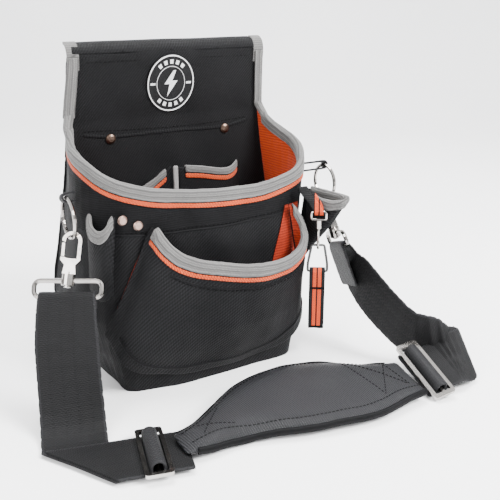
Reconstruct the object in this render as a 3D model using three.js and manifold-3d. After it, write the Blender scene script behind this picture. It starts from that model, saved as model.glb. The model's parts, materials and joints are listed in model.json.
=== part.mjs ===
// Electrician's tool pouch with a shoulder strap, in millimetres.
// x runs to the right of someone facing the pouch, y to the back, z up.
// The origin is the middle of the underside of the pouch floor.
import * as THREE from 'three';
import { mergeVertices } from 'three/addons/utils/BufferGeometryUtils.js';
import Module from 'manifold-3d';

const wasm = await Module();
wasm.setup();

// ---------------------------------------------------------------- driving dimensions
const gap = 0.3;                       // clearance between touching pieces
const wallBack = 46;                   // y of the back panel's front face
const wallFront = -50;                 // y of the front wall
const fabric = 1.6;                    // shell thickness
const lining = 0.8;
const kinkHeight = 232;                // where the rim meets the back panel
const panelTop = 292;
const panelThick = 2.4;
const tunnelDepth = 13;                // belt tunnel, panel face to flap face
const webWidth = 53;
const webThick = 2;
const swingY = -18;                    // the strap swings about the line through both rings
const swingZ = 164;
const ringRadius = 17.2;
const ringWire = 1.7;
const ringLeftX = -120.5;
const ringRightX = 138;
const rivetSpan = 118;                 // between the two panel rivets
const rivetZ = 214.5;

// Half widths of the wall by height: at the back seam, and towards the front corners.
const backHalfWidths = [[0, 94], [35, 110], [75, 122], [120, 115], [171, 106], [232, 98], [260, 97]];
const frontHalfWidths = [[0, 85], [60, 95], [170, 99], [260, 100]];
const sideBelly = [[0, 0], [60, 3], [150, 6], [210, 9], [260, 9]];
const cornerSharpness = 6.5;

// Height of the rim by distance from the front centre, as a share of the way to the back seam.
const rimHeights = [[0, 178.5], [0.125, 179.2], [0.25, 180.8], [0.375, 185.5], [0.5, 193], [0.625, 203.5],
  [0.75, 211.5], [0.875, 219.5], [1, kinkHeight]];
const rimLean = 4.8;                     // the soft rim stands this much higher on the left

// ---------------------------------------------------------------- small helpers
const vec = (x, y, z) => new THREE.Vector3(x, y, z);
const mix = (a, b, t) => a.clone().lerp(b, t);
const ramp = (lo, hi, t) => THREE.MathUtils.lerp(lo, hi, t);
const steps = (n) => Array.from({ length: n + 1 }, (_, i) => i / n);
const unit = (x, y, z) => vec(x, y, z).normalize();

// A value read from a table of [key, value] pairs, smoothed between the pairs.
function fromTable(table, key) {
  const k = THREE.MathUtils.clamp(key, table[0][0], table.at(-1)[0]);
  const i = Math.max(1, table.findIndex(([at]) => at >= k));
  const [k0, v0] = table[i - 1];
  const [k1, v1] = table[i];
  const t = (k - k0) / (k1 - k0);
  const before = table[i - 2] ?? table[i - 1];
  const after = table[i + 1] ?? table[i];
  const m0 = (v1 - before[1]) / (k1 - before[0] || 1) * (k1 - k0);
  const m1 = (after[1] - v0) / (after[0] - k0 || 1) * (k1 - k0);
  return (2 * t ** 3 - 3 * t ** 2 + 1) * v0 + (t ** 3 - 2 * t ** 2 + t) * m0
    + (3 * t ** 2 - 2 * t ** 3) * v1 + (t ** 3 - t ** 2) * m1;
}

function smoothCurve(points, closed = false) {
  return new THREE.CatmullRomCurve3(points, closed, 'centripetal');
}

// ---------------------------------------------------------------- closed bodies
function bodyFrom(points, triangles) {
  let volume = 0;
  for (let i = 0; i < triangles.length; i += 3) {
    const [a, b, c] = [points[triangles[i]], points[triangles[i + 1]], points[triangles[i + 2]]];
    volume += a.dot(b.clone().cross(c));
  }
  const geometry = new THREE.BufferGeometry();
  geometry.setFromPoints(points);
  geometry.setIndex(volume > 0 ? triangles : [...triangles].reverse());
  geometry.computeVertexNormals();
  return geometry;
}

// The body between two grids of points, grid[row][column], closed round its edges.
function bodyBetween(outer, inner) {
  const rows = outer.length;
  const cols = outer[0].length;
  const at = (side, i, j) => (side * rows + i) * cols + j;
  const tris = [];
  const quad = (a, b, c, d) => tris.push(a, b, c, a, c, d);
  for (let i = 0; i < rows - 1; i++) {
    for (let j = 0; j < cols - 1; j++) {
      quad(at(0, i, j), at(0, i + 1, j), at(0, i + 1, j + 1), at(0, i, j + 1));
      quad(at(1, i, j), at(1, i, j + 1), at(1, i + 1, j + 1), at(1, i + 1, j));
    }
    quad(at(0, i, 0), at(1, i, 0), at(1, i + 1, 0), at(0, i + 1, 0));
    quad(at(0, i, cols - 1), at(0, i + 1, cols - 1), at(1, i + 1, cols - 1), at(1, i, cols - 1));
  }
  for (let j = 0; j < cols - 1; j++) {
    quad(at(0, 0, j), at(0, 0, j + 1), at(1, 0, j + 1), at(1, 0, j));
    quad(at(0, rows - 1, j), at(1, rows - 1, j), at(1, rows - 1, j + 1), at(0, rows - 1, j + 1));
  }
  return bodyFrom([...outer.flat(), ...inner.flat()], tris);
}

// A body through rings of points: ringAt(i) places the section's [a, b] points for ring i.
// It is joined end to end when it is a loop and capped when it isn't.
function sweep(count, place, section, loop = false) {
  const flat = section.map(([a, b]) => new THREE.Vector2(a, b));
  const outline = THREE.ShapeUtils.isClockWise(flat) ? flat.reverse() : flat;
  const sides = outline.length;
  const rings = Array.from({ length: count }, (_, i) => outline.map((p) => place(i, p.x, p.y)));
  const tris = [];
  for (let i = 0; i < (loop ? count : count - 1); i++) {
    const next = ((i + 1) % count) * sides;
    for (let j = 0; j < sides; j++) {
      const k = (j + 1) % sides;
      tris.push(i * sides + j, i * sides + k, next + k, i * sides + j, next + k, next + j);
    }
  }
  if (!loop) {
    const end = (count - 1) * sides;
    for (const face of THREE.ShapeUtils.triangulateShape(outline, [])) {
      const corners = face.map((k) => outline[k]);
      const [a, b, c] = THREE.ShapeUtils.isClockWise(corners) ? [...face].reverse() : face;
      tris.push(a, c, b, end + a, end + b, end + c);
    }
  }
  return bodyFrom(rings.flat(), tris);
}

// A rod of round section along a smooth path, with a fixed direction that it never runs along.
function rod(path, radius, reference, loop = false, sides = 8) {
  const circle = steps(sides).slice(1).map((t) => [
    radius * Math.cos(2 * Math.PI * t), radius * Math.sin(2 * Math.PI * t)]);
  const frameAt = (i) => {
    const before = path[loop ? (i + path.length - 1) % path.length : Math.max(0, i - 1)];
    const after = path[loop ? (i + 1) % path.length : Math.min(path.length - 1, i + 1)];
    const along = after.clone().sub(before).normalize();
    const across = reference.clone().cross(along).normalize();
    return [across, along.clone().cross(across)];
  };
  const frames = path.map((_, i) => frameAt(i));
  const place = (i, a, b) => path[i].clone().addScaledVector(frames[i][0], a)
    .addScaledVector(frames[i][1], b);
  return sweep(path.length, place, circle, loop);
}

// Strips of webbing: rows of {left, right, normal}, with an even thickness.
function ribbon(rows, thickness, columns = 1) {
  const side = (row, sign) => steps(columns).map((t) => mix(row.left, row.right, t)
    .addScaledVector(row.normal, sign * thickness / 2));
  return bodyBetween(rows.map((row) => side(row, 1)), rows.map((row) => side(row, -1)));
}

// Booleans, only to join and to cut.
function toSolid(geometry) {
  const bare = geometry.clone();
  bare.deleteAttribute('normal');
  bare.deleteAttribute('uv');
  const merged = mergeVertices(bare, 1e-4);
  return new wasm.Manifold(new wasm.Mesh({
    numProp: 3,
    vertProperties: new Float32Array(merged.attributes.position.array),
    triVerts: new Uint32Array(merged.index.array),
  }));
}

function toGeometry(solid) {
  const mesh = solid.getMesh();
  const geometry = new THREE.BufferGeometry();
  geometry.setAttribute('position', new THREE.BufferAttribute(mesh.vertProperties, 3));
  geometry.setIndex(new THREE.BufferAttribute(mesh.triVerts, 1));
  geometry.computeVertexNormals();
  return geometry;
}

// A matrix whose x, y and z axes are the three given directions.
function placed(origin, x, y, z) {
  return new THREE.Matrix4().makeBasis(x, y, z).setPosition(origin);
}

// ---------------------------------------------------------------- materials
const finish = (color, roughness, metalness = 0) => ({ color, roughness, metalness });
const finishes = {
  nylon: finish(0x1c1c1e, 0.9),
  webbing: finish(0x2e2e31, 0.85),
  binding: finish(0x9b9b98, 0.9),
  orange: finish(0xe0602c, 0.85),
  nickel: finish(0xc9c3ba, 0.28, 1),
  darkMetal: finish(0x35353a, 0.35, 1),
  copper: finish(0xb98a6a, 0.35, 1),
  patch: finish(0x45474a, 0.8),
  padding: finish(0x3a3a40, 0.8),
};

const pouch = new THREE.Group();
function add(name, geometry, slot) {
  const mesh = new THREE.Mesh(geometry, new THREE.MeshStandardMaterial(finishes[slot]));
  mesh.name = name;
  pouch.add(mesh);
  return mesh;
}

// ---------------------------------------------------------------- the main wall
const depth = wallBack - gap - wallFront;

// The wall's outline at one height, from the back left seam round the front to the back right.
function outlineAt(z) {
  const back = fromTable(backHalfWidths, z);
  const front = fromTable(frontHalfWidths, z);
  const belly = fromTable(sideBelly, z);
  const half = steps(48).map((t) => {
    const turn = t * Math.PI / 2;
    const y = Math.sin(turn) ** (2 / cornerSharpness);
    const round = Math.cos(turn) ** (2 / cornerSharpness);
    const x = (ramp(back, front, y ** 1.5) + belly * Math.sin(Math.PI * y)) * round;
    return [x, wallBack - gap - depth * y];
  });
  const right = half.map(([x, y]) => vec(x, y, z));
  const left = half.map(([x, y]) => vec(-x, y, z));
  return [...left, ...right.reverse().slice(1)];
}

const outlines = new Map();
function outlineWithLengths(z) {
  const key = z.toFixed(2);
  if (!outlines.has(key)) {
    const points = outlineAt(z);
    const lengths = [0];
    points.slice(1).forEach((p, i) => lengths.push(lengths[i] + p.distanceTo(points[i])));
    outlines.set(key, { points, lengths });
  }
  return outlines.get(key);
}

// A point on the wall: share is 0 at the back left seam and 1 at the back right one.
function wallPoint(share, z, out = 0) {
  const { points, lengths } = outlineWithLengths(z);
  const target = share * lengths.at(-1);
  const i = Math.max(1, lengths.findIndex((l) => l >= target - 1e-9));
  const t = (target - lengths[i - 1]) / (lengths[i] - lengths[i - 1]);
  const from = points[Math.max(0, i - 2)];
  const to = points[Math.min(points.length - 1, i + 1)];
  const outward = vec(to.y - from.y, from.x - to.x, 0).normalize();
  return mix(points[i - 1], points[i], t).addScaledVector(outward, out);
}

// The same point moved out of the wall until it clears it.
function clearOfWall(p, clearance) {
  const { points } = outlineWithLengths(THREE.MathUtils.clamp(p.z, 0, 250));
  let best = { distance: Infinity };
  for (let i = 1; i < points.length; i++) {
    const [a, b] = [points[i - 1], points[i]];
    const edge = vec(b.x - a.x, b.y - a.y, 0);
    const t = THREE.MathUtils.clamp(vec(p.x - a.x, p.y - a.y, 0).dot(edge) / edge.lengthSq(), 0, 1);
    const near = vec(a.x + edge.x * t, a.y + edge.y * t, p.z);
    const outward = vec(edge.y, -edge.x, 0).normalize();
    const distance = near.distanceTo(p);
    if (distance < best.distance) best = { distance, near, outward };
  }
  const out = p.clone().sub(best.near).dot(best.outward);
  return out >= clearance ? p : best.near.addScaledVector(best.outward, clearance);
}

const rimZ = (share) => {
  const side = 2 * share - 1;
  const lean = -rimLean * Math.sin(Math.PI * side);
  return fromTable(rimHeights, Math.abs(side)) + lean;
};

// A point near the rim: down the wall from its top edge, measured square to the edge.
function rimPoint(share, out, up) {
  const step = 0.004;
  const [a, b] = [share - step, share + step].map((s) => wallPoint(THREE.MathUtils.clamp(s, 0, 1), 200));
  const slope = (rimZ(share + step) - rimZ(share - step)) / a.distanceTo(b);
  return wallPoint(share, rimZ(share) + up * Math.sqrt(1 + slope ** 2), out);
}

// A layer of the wall, cut short at the bottom and at the rim.
function wallLayer(outside, inside, low = 0, topDrop = 0, rows = 6) {
  const grid = (out) => steps(36).map((share) => {
    const column = steps(rows).map((t) => wallPoint(share, rimZ(share) * t, out));
    const row = rimZ(share) / rows;
    column[0] = mix(column[0], column[1], low / row);
    column[rows] = mix(column[rows], column[rows - 1], topDrop / row);
    return column;
  });
  return bodyBetween(grid(outside), grid(inside));
}

const liningOut = -fabric - gap;
const wallInside = liningOut - lining;
add('main_shell', wallLayer(0, -fabric), 'nylon');
add('main_lining', wallLayer(liningOut, wallInside, 2.7, 0.6), 'orange');

function floorPlate() {
  const outline = steps(96).map((share) => wallPoint(share, 0, -fabric - 0.5));
  const shape = new THREE.Shape(outline.map((p) => new THREE.Vector2(p.x, p.y)));
  return new THREE.ExtrudeGeometry(shape, { depth: panelThick, bevelEnabled: false });
}
add('main_floor', floorPlate(), 'nylon');

// Bindings are folded over the fabric's edge; the trim is sewn on outside, just below.
const bindingTop = 2.8;
const bindingLeg = -8.5;
function bindingSection(outer, inner) {
  return [[outer, bindingLeg], [outer + 1.8, bindingLeg + 0.6], [outer + 1.9, 0.5], [outer - 0.6, bindingTop],
    [inner + 0.6, bindingTop], [inner - 1.9, 0.5], [inner - 1.8, bindingLeg + 0.6], [inner, bindingLeg],
    [inner, 0.4], [outer, 0.4]];
}
const trimSection = (outer) => [[outer, -13], [outer + 1.2, -13], [outer + 1.2, -9], [outer, -9]];

function alongRim(section, from, to, count) {
  return sweep(count, (i, a, b) => rimPoint(ramp(from, to, i / (count - 1)), a, b), section);
}
add('main_rim_binding', alongRim(bindingSection(gap, wallInside - 0.5), 0.02, 0.98, 46), 'binding');
add('main_rim_trim', alongRim(trimSection(gap), 0.02, 0.98, 46), 'orange');

// ---------------------------------------------------------------- back panel and belt tunnel
const panelMiddle = wallBack + panelThick / 2;
const leanTop = 11;                    // the panel leans this far forward at the top
const panelPath = [[0, 0], [22, 0], [48, 0], [75, 0], [98, 0], [120, 0], [150, 0], [200, 0], [kinkHeight, 0],
  [262, -leanTop * 0.45], [panelTop, -leanTop]];
const panelHalfWidth = (z) => (z <= kinkHeight ? fromTable(backHalfWidths, z) + 1
  : ramp(99, 94, (z - kinkHeight) / (panelTop - kinkHeight)));

// Fabric that is straight across: path points are [y, z], with a half width for each height.
function straightAcross(path, halfWidthAt, thickness, columns = 4) {
  const layer = (sign) => path.map(([y, z], i) => {
    const [y0, z0] = path[Math.max(0, i - 1)];
    const [y1, z1] = path[Math.min(path.length - 1, i + 1)];
    const normal = vec(0, z1 - z0, y0 - y1).normalize().multiplyScalar(sign * thickness / 2);
    const half = halfWidthAt(z);
    return steps(columns).map((t) => vec(ramp(-half, half, t), y, z).add(normal));
  });
  return bodyBetween(layer(1), layer(-1));
}

const rivetPlaces = [-rivetSpan / 2, rivetSpan / 2];
function withRivetHoles(geometry) {
  let solid = toSolid(geometry);
  for (const x of rivetPlaces) {
    const hole = new THREE.CylinderGeometry(2.3, 2.3, 40, 16).translate(x, panelMiddle, rivetZ);
    solid = solid.subtract(toSolid(hole));
  }
  return toGeometry(solid);
}

const panelRows = panelPath.map(([z, lean]) => [panelMiddle + lean, z]);
add('back_panel', withRivetHoles(straightAcross(panelRows, panelHalfWidth, panelThick)), 'nylon');

const flapFlatY = panelMiddle + panelThick + gap;
const flapRadius = 7.2;
const flapTop = panelTop + gap + 0.4;
const flapPath = [
  ...steps(8).map((t) => [panelMiddle - leanTop + flapRadius - flapRadius * Math.cos(Math.PI * t),
    flapTop + flapRadius * Math.sin(Math.PI * t)]),
  [flapFlatY + tunnelDepth * 0.62, 278], [flapFlatY + tunnelDepth, 256], [flapFlatY + tunnelDepth * 0.8, 238],
  [flapFlatY + tunnelDepth * 0.3, 227], [flapFlatY, 221], [flapFlatY, 204],
];
add('belt_tunnel_flap', withRivetHoles(straightAcross(flapPath, () => 93, panelThick)), 'nylon');

const rivetProfile = [[0, 43.2], [2.6, 43.5], [4.5, 44.5], [5, 45.7], [2, 45.7], [2, 51.7], [4, 51.7],
  [3.8, 52.6], [0, 53]].map(([r, y]) => new THREE.Vector2(r, y));
rivetPlaces.forEach((x, i) => {
  const name = ['panel_rivet_left', 'panel_rivet_right'][i];
  const rivet = add(name, new THREE.LatheGeometry(rivetProfile, 16), 'copper');
  rivet.position.set(x, 0, rivetZ);
});

// Side bindings of the panel, from the kink to the top fold.
function panelBinding(side) {
  const rows = steps(6).map((t) => ramp(kinkHeight + 4, panelTop - 2, t));
  const place = (i, a, b) => {
    const z = rows[i];
    const lean = fromTable(panelPath, z);
    return vec(side * (panelHalfWidth(z) + a), panelMiddle + lean + b, z);
  };
  const wrap = panelThick / 2 + 1.4;
  const section = [[-7, -wrap], [-7, -wrap - 1.6], [0.8, -wrap - 1.8], [2.8, -1], [2.8, 1], [0.8, wrap + 1.8],
    [-7, wrap + 1.6], [-7, wrap], [gap, wrap], [gap, -wrap]];
  return sweep(rows.length, place, section);
}
add('panel_binding_left', panelBinding(-1), 'binding');
add('panel_binding_right', panelBinding(1), 'binding');

// The oval patch, leaning with the panel.
const patchHalf = [23.5, 27];
const patchZ = 263;
function ovalPatch() {
  const shape = new THREE.Shape();
  shape.absellipse(0, 0, ...patchHalf, 0, 2 * Math.PI);
  return new THREE.ExtrudeGeometry(shape, { depth: 1.4, bevelEnabled: false, curveSegments: 24 });
}
const patchMesh = add('oval_patch', ovalPatch(), 'patch');
const patchTilt = Math.atan2(fromTable(panelPath, 240) - fromTable(panelPath, 286), 46);
patchMesh.rotation.x = Math.PI / 2 + patchTilt;
patchMesh.position.set(0, wallBack + fromTable(panelPath, patchZ) - 1.1, patchZ);

// ---------------------------------------------------------------- inner pockets
const innerBottom = 70;
const innerPanels = {
  left: { from: -74, to: -10, tops: [[-74, 156], [-50, 164], [-30, 174], [-10, 189]],
    fronts: [[-74, 42], [-60, 31], [-35, 22], [-10, 20]] },
  right: { from: -3, to: 73, tops: [[-3, 187], [18, 185], [36, 181], [52, 179], [73, 184]],
    fronts: [[-3, 19], [20, 15], [45, 18], [60, 27], [73, 42]] },
};
function innerPoint(panel, x, out, up) {
  const z = fromTable(panel.tops, x) + up;
  const tuck = THREE.MathUtils.smoothstep(112 - z, 0, 42);
  const y = ramp(fromTable(panel.fronts, x), 42, tuck);
  return vec(x, y - out, z);
}
for (const [side, panel] of Object.entries(innerPanels)) {
  const xs = steps(12).map((t) => ramp(panel.from, panel.to, t));
  const grid = (out) => xs.map((x) => steps(6).map((t) => {
    const height = fromTable(panel.tops, x) - innerBottom;
    return innerPoint(panel, x, out, -height * t);
  }));
  add(`inner_pocket_${side}`, bodyBetween(grid(0), grid(-fabric)), 'nylon');
  const inset = xs.slice(1, -1);
  const along = (section) => sweep(inset.length, (i, a, b) => innerPoint(panel, inset[i], a, b), section);
  add(`inner_binding_${side}`, along([[gap, -5], [1.7, -4.6], [1.7, 0.3], [0.4, 1.9], [-2, 1.9], [-3.3, 0.3],
    [-3.3, -4.6], [-fabric - gap, -5], [-fabric - gap, 0.4], [gap, 0.4]]), 'binding');
  add(`inner_trim_${side}`, along([[gap, -10], [1.2, -10], [1.2, -5.6], [gap, -5.6]]), 'orange');
}
const divider = new THREE.BoxGeometry(4, 2.4, 74).translate(-6.5, 17.6, 152);
add('inner_divider_strip', divider, 'binding');

// ---------------------------------------------------------------- patch pockets
// A pocket face hangs from its rim curve to its seam on the wall and bulges between them.
// It stands off the wall by rimClear at the rim and seamClear at the seam.
function pocketFace(rim, seam, bulge, rimClear, seamClear) {
  const rimCurve = smoothCurve(rim);
  const seamCurve = smoothCurve(seam);
  const middle = (u, down) => {
    const share = THREE.MathUtils.clamp(u, 0, 1);
    const top = rimCurve.getPointAt(share);
    const bottom = seamCurve.getPointAt(share);
    const t = down / top.distanceTo(bottom);
    const fall = bottom.clone().sub(top).normalize();
    const out = fall.clone().cross(rimCurve.getTangentAt(share)).normalize();
    const fullness = Math.sin(Math.PI * THREE.MathUtils.clamp(t, 0, 1));
    const swell = bulge * fullness * Math.sin(Math.PI * share) ** 0.5;
    const clearance = ramp(rimClear, seamClear, THREE.MathUtils.clamp(t, 0, 1));
    return clearOfWall(mix(top, bottom, t).addScaledVector(out, swell), clearance);
  };
  return {
    depthAt: (u) => rimCurve.getPointAt(u).distanceTo(seamCurve.getPointAt(u)),
    at(u, out, up) {
      const down = -up;
      const across = middle(u + 0.01, down).sub(middle(u - 0.01, down));
      const fall = middle(u, down + 1).sub(middle(u, down - 1));
      const normal = fall.cross(across).normalize();
      return middle(u, down).addScaledVector(normal, out);
    },
  };
}

function pocketLayer(face, outside, inside, columns, rows, topDrop = 0) {
  const hem = 8;
  const grid = (out) => steps(columns).map((u) => {
    const downs = [topDrop, hem / 2, ...steps(rows).map((t) => ramp(hem, face.depthAt(u), t))];
    return downs.map((down) => face.at(u, out, -down));
  });
  return bodyBetween(grid(outside), grid(inside));
}

// A section along a pocket's rim, with the space for the pocket's own layers cut out of it.
function alongPocket(face, section, columns, layers) {
  const body = sweep(columns - 1, (i, a, b) => face.at((i + 1) / columns, a, b), section);
  const pieces = toSolid(body).subtract(toSolid(layers)).decompose();
  return toGeometry(pieces.sort((p, q) => q.volume() - p.volume())[0]);
}

const foldSection = (inner, thick) => [[0.5, bindingLeg], [thick - 0.2, bindingLeg + 0.6], [thick, 0.5],
  [0, bindingTop + 0.2], [inner, bindingTop + 0.2], [inner - thick, 0.5],
  [inner - thick + 0.2, bindingLeg + 0.6],  [inner - 0.5, bindingLeg]];
const frontSeamY = wallFront - 3.6;
const frontPocket = pocketFace(
  [vec(-62, frontSeamY, 157.5), vec(-60, -57, 156.5), vec(-58, -62, 153), vec(-54, -68, 145),
    vec(-45, -73, 135), vec(-29, -77, 126.5), vec(-5, -79.5, 120), vec(20, -80, 114.5),
    vec(41, -79.5, 112), vec(60, -76, 112.5),
    vec(75, -71, 115), vec(85, -66, 120), vec(90.5, -62, 128), vec(90.5, -59, 137), vec(87.5, -56, 146),
    vec(82, -54, 154), vec(75, frontSeamY, 160)],
  [vec(-97, -31, 58), vec(-93, -46, 42), vec(-80, frontSeamY, 26), vec(-45, frontSeamY, 14),
    vec(0, frontSeamY, 10), vec(45, frontSeamY, 12), vec(80, frontSeamY, 24), vec(92, -47, 40),
    vec(97, -38, 58)],
  6, 3.6, 3.4);
const frontInside = liningOut - lining;
const frontColumns = 36;
add('front_pocket', pocketLayer(frontPocket, 0, -fabric, frontColumns, 4), 'nylon');
const frontLining = pocketLayer(frontPocket, liningOut, frontInside, frontColumns, 4, 0.6);
add('front_pocket_lining', toGeometry(toSolid(frontLining)), 'orange');
const frontFold = foldSection(frontInside, 2.4);
const frontRoom = pocketLayer(frontPocket, 0.4, frontInside - 0.4, frontColumns, 4, -0.4);
add('front_pocket_binding', alongPocket(frontPocket, frontFold, frontColumns, frontRoom), 'binding');
add('front_pocket_trim', alongPocket(frontPocket, trimSection(0.2), frontColumns, frontRoom), 'orange');

const cornerPockets = {
  left: pocketFace(
    [vec(-106, -27, 169), vec(-108, -33, 160.5), vec(-107, -42, 155.5), vec(-103, -50, 156),
      vec(-99, -53.5, 161), vec(-95.5, -54, 167), vec(-91, -53.5, 170)],
    [vec(-110, -25, 100), vec(-107, -34, 93), vec(-103, -42, 92), vec(-97, -50, 98)], 2, 3.9, 2.4),
  right: pocketFace(
    [vec(103, -40, 160), vec(110, -57, 157), vec(119, -72, 158), vec(127, -75, 160), vec(131, -66, 160),
      vec(124, -46, 161), vec(110, -24, 164)],
    [vec(102, -39, 98), vec(106, -34, 95), vec(108, -27, 96), vec(109, -20, 99)], 2, 4.2, 2.4),
};
const cornerColumns = 16;
for (const [side, face] of Object.entries(cornerPockets)) {
  add(`corner_pocket_${side}`, pocketLayer(face, 0, -fabric, cornerColumns, 3), 'nylon');
  const room = pocketLayer(face, 0.4, -fabric - 0.4, cornerColumns, 3, -0.4);
  const fold = foldSection(-fabric, 1.8);
  add(`corner_pocket_binding_${side}`, alongPocket(face, fold, cornerColumns, room), 'binding');
}

// ---------------------------------------------------------------- shoulder strap hardware
const up = vec(0, 0, 1);

// A point on a strap ring, by angle from its lowest point towards the front.
function ringPoint(ring, angle) {
  return ring.centre.clone().addScaledVector(ring.front, ringRadius * Math.sin(angle))
    .addScaledVector(up, -ringRadius * Math.cos(angle));
}
function ringTangent(ring, angle) {
  return ring.front.clone().multiplyScalar(Math.cos(angle)).addScaledVector(up, Math.sin(angle));
}

const rings = {
  left: { centre: vec(ringLeftX, swingY, swingZ), front: unit(0.03, -0.9995, 0), wall: -112 },
  right: { centre: vec(ringRightX, swingY, swingZ), front: vec(0, -1, 0), wall: 111.5 },
};
const tabWidth = 9;
const tabAngle = Math.PI * 1.1;

// The tab is a short loop of webbing sewn to the wall, round the top of the ring.
function ringTab(ring) {
  const wire = ringPoint(ring, tabAngle);
  const along = ringTangent(ring, tabAngle);
  const inward = vec(-Math.sign(wire.x), 0, 0);
  inward.addScaledVector(along, -inward.dot(along)).normalize();
  const across = along.clone().cross(inward);
  const loop = ringWire + 1.9;
  const reach = Math.abs(wire.x - ring.wall) - 1;
  const turn = steps(6).map((t) => Math.PI * (0.5 + t)).map((angle) => [Math.cos(angle), Math.sin(angle)]);
  const path = [[reach, 1], ...turn, [reach, -1]];
  const rows = path.map(([a, b], i) => {
    const end = i === 0 || i === path.length - 1;
    const centre = wire.clone().addScaledVector(inward, end ? a : a * loop).addScaledVector(across, b * loop);
    const out = across.clone().multiplyScalar(b).addScaledVector(inward, end ? 0 : a).normalize();
    const half = along.clone().multiplyScalar(tabWidth / 2);
    return { left: centre.clone().sub(half), right: centre.clone().add(half), normal: out };
  });
  return ribbon(rows, fabric);
}

// Hooks hang from the rings. down runs along the shank, bar along the strap loop's long sides, and
// aside moves the eye along X, so that the ring wire stays inside it as the strap swings.
const shankToBar = 36.5;
const loopLength = 61;
const barWidth = 48;                    // the webbing is drawn in where it goes round the loop
const loopHeight = 18;
const loopWire = 2.1;
const barDrop = loopHeight - 2 * loopWire;
const hooks = {
  left: {
    ring: rings.left, hang: 0.45, turn: 0.44, aside: 0.2,
    down: unit(-0.291, -0.388, -0.874), bar: unit(0.879, -0.477, 0),
  },
  right: {
    ring: rings.right, hang: 0.16, turn: -0.3, aside: 0,
    down: unit(0.242, -0.154, -0.958), bar: unit(0.28, 0.9, -0.33),
  },
};
for (const hook of Object.values(hooks)) {
  hook.at = ringPoint(hook.ring, hook.hang).add(vec(hook.aside, 0, 0));
  const wire = ringTangent(hook.ring, hook.hang);
  hook.side = hook.down.clone().cross(wire).normalize().applyAxisAngle(hook.down, hook.turn);
  hook.face = hook.side.clone().cross(hook.down.clone().negate());
  hook.frame = placed(hook.at, hook.side, hook.down.clone().negate(), hook.face);
  hook.barTop = hook.at.clone().addScaledVector(hook.down, shankToBar);
  hook.fall = hook.down.clone().addScaledVector(hook.bar, -hook.down.dot(hook.bar)).normalize();
  hook.barLow = hook.barTop.clone().addScaledVector(hook.fall, barDrop);
  hook.front = hook.fall.clone().cross(hook.bar).normalize();
}

const eyeOuter = 8.3;
const eyeInner = 5.3;
const eyeDrop = 3.2;                   // from the ring's wire to the middle of the eye
const plate = 4;
const gateFoot = -16.2;
const gateTop = -4.9;

function hookShape() {
  const shape = new THREE.Shape();
  shape.moveTo(eyeOuter, gateTop + 0.4);
  shape.absarc(0, -eyeDrop, eyeOuter, 0, Math.PI, false);
  shape.lineTo(-eyeOuter, -19);
  shape.lineTo(-4.5, -23.5);
  shape.lineTo(-5.6, -31);
  shape.lineTo(5.6, -31);
  shape.lineTo(4.5, -23.5);
  shape.lineTo(eyeOuter, -19.5);
  shape.lineTo(eyeOuter, gateFoot - 0.8);
  shape.lineTo(eyeInner, gateFoot - 0.8);
  shape.lineTo(3, -18);
  shape.lineTo(-eyeInner, -18);
  shape.absarc(0, -eyeDrop, eyeInner, Math.PI, 0, true);
  shape.lineTo(eyeInner, gateTop + 0.4);
  return shape;
}

const stemProfile = [[0, -29], [2.2, -29], [2.2, -41], [3.3, -41], [3.3, -42.4], [0, -42.8]];
function hookBody() {
  const cut = { depth: plate, bevelEnabled: false, curveSegments: 10 };
  const flat = new THREE.ExtrudeGeometry(hookShape(), cut);
  const stem = new THREE.LatheGeometry(stemProfile.map(([r, y]) => new THREE.Vector2(r, y)).reverse(), 12);
  return toGeometry(toSolid(flat.translate(0, 0, -plate / 2)).add(toSolid(stem)));
}

const gateThick = 2.6;
function hookGate() {
  const shape = new THREE.Shape([[5.5, gateFoot], [8.1, gateFoot], [8.1, gateTop], [5.9, gateTop]]
    .map(([x, y]) => new THREE.Vector2(x, y)));
  const plate = new THREE.ExtrudeGeometry(shape, { depth: gateThick, bevelEnabled: false });
  return plate.translate(0, 0, -gateThick / 2);
}

// The strap loop is a rounded rectangle of wire with the swivel's collar on its top bar.
const collarTop = -31.4;
const collarLow = -40.6;
function strapLoop(hook) {
  const half = loopLength / 2 - loopWire;
  const round = 5;
  const corner = (x, y, start) => steps(4).map((t) => [x + round * Math.cos(start + t * Math.PI / 2),
    y + round * Math.sin(start + t * Math.PI / 2)]);
  const outline = [
    ...corner(half - round, -round, 0), ...corner(round - half, -round, Math.PI / 2),
    ...corner(round - half, round - barDrop, Math.PI),
    ...corner(half - round, round - barDrop, 1.5 * Math.PI)];
  const path = outline.map(([x, y]) => (
    hook.barTop.clone().addScaledVector(hook.bar, x).addScaledVector(hook.fall, -y)));
  const wire = toSolid(rod(path, loopWire, hook.front, true));
  const tube = (radius, high, low) => toSolid(new THREE.CylinderGeometry(radius, radius, high - low, 16)
    .translate(0, (high + low) / 2, 0).applyMatrix4(hook.frame));
  const bore = tube(2.6, collarTop + 5, collarLow - 5);
  return toGeometry(wire.add(tube(5.6, collarTop, collarLow)).subtract(bore));
}

for (const [side, ring] of Object.entries(rings)) {
  const hook = hooks[side];
  const torus = new THREE.TorusGeometry(ringRadius, ringWire, 7, 32);
  torus.applyMatrix4(placed(ring.centre, ring.front, up, ring.front.clone().cross(up)));
  add(`ring_${side}`, torus, 'nickel');
  add(`ring_tab_${side}`, ringTab(ring), 'webbing');
  add(`hook_${side}`, hookBody().applyMatrix4(hook.frame), 'nickel');
  add(`hook_gate_${side}`, hookGate().applyMatrix4(hook.frame), 'nickel');
  add(`strap_loop_${side}`, strapLoop(hook), 'nickel');
}

// ---------------------------------------------------------------- webbing
const wrapRadius = loopWire + 0.6 + webThick / 2;
const tailLength = 42;

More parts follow.
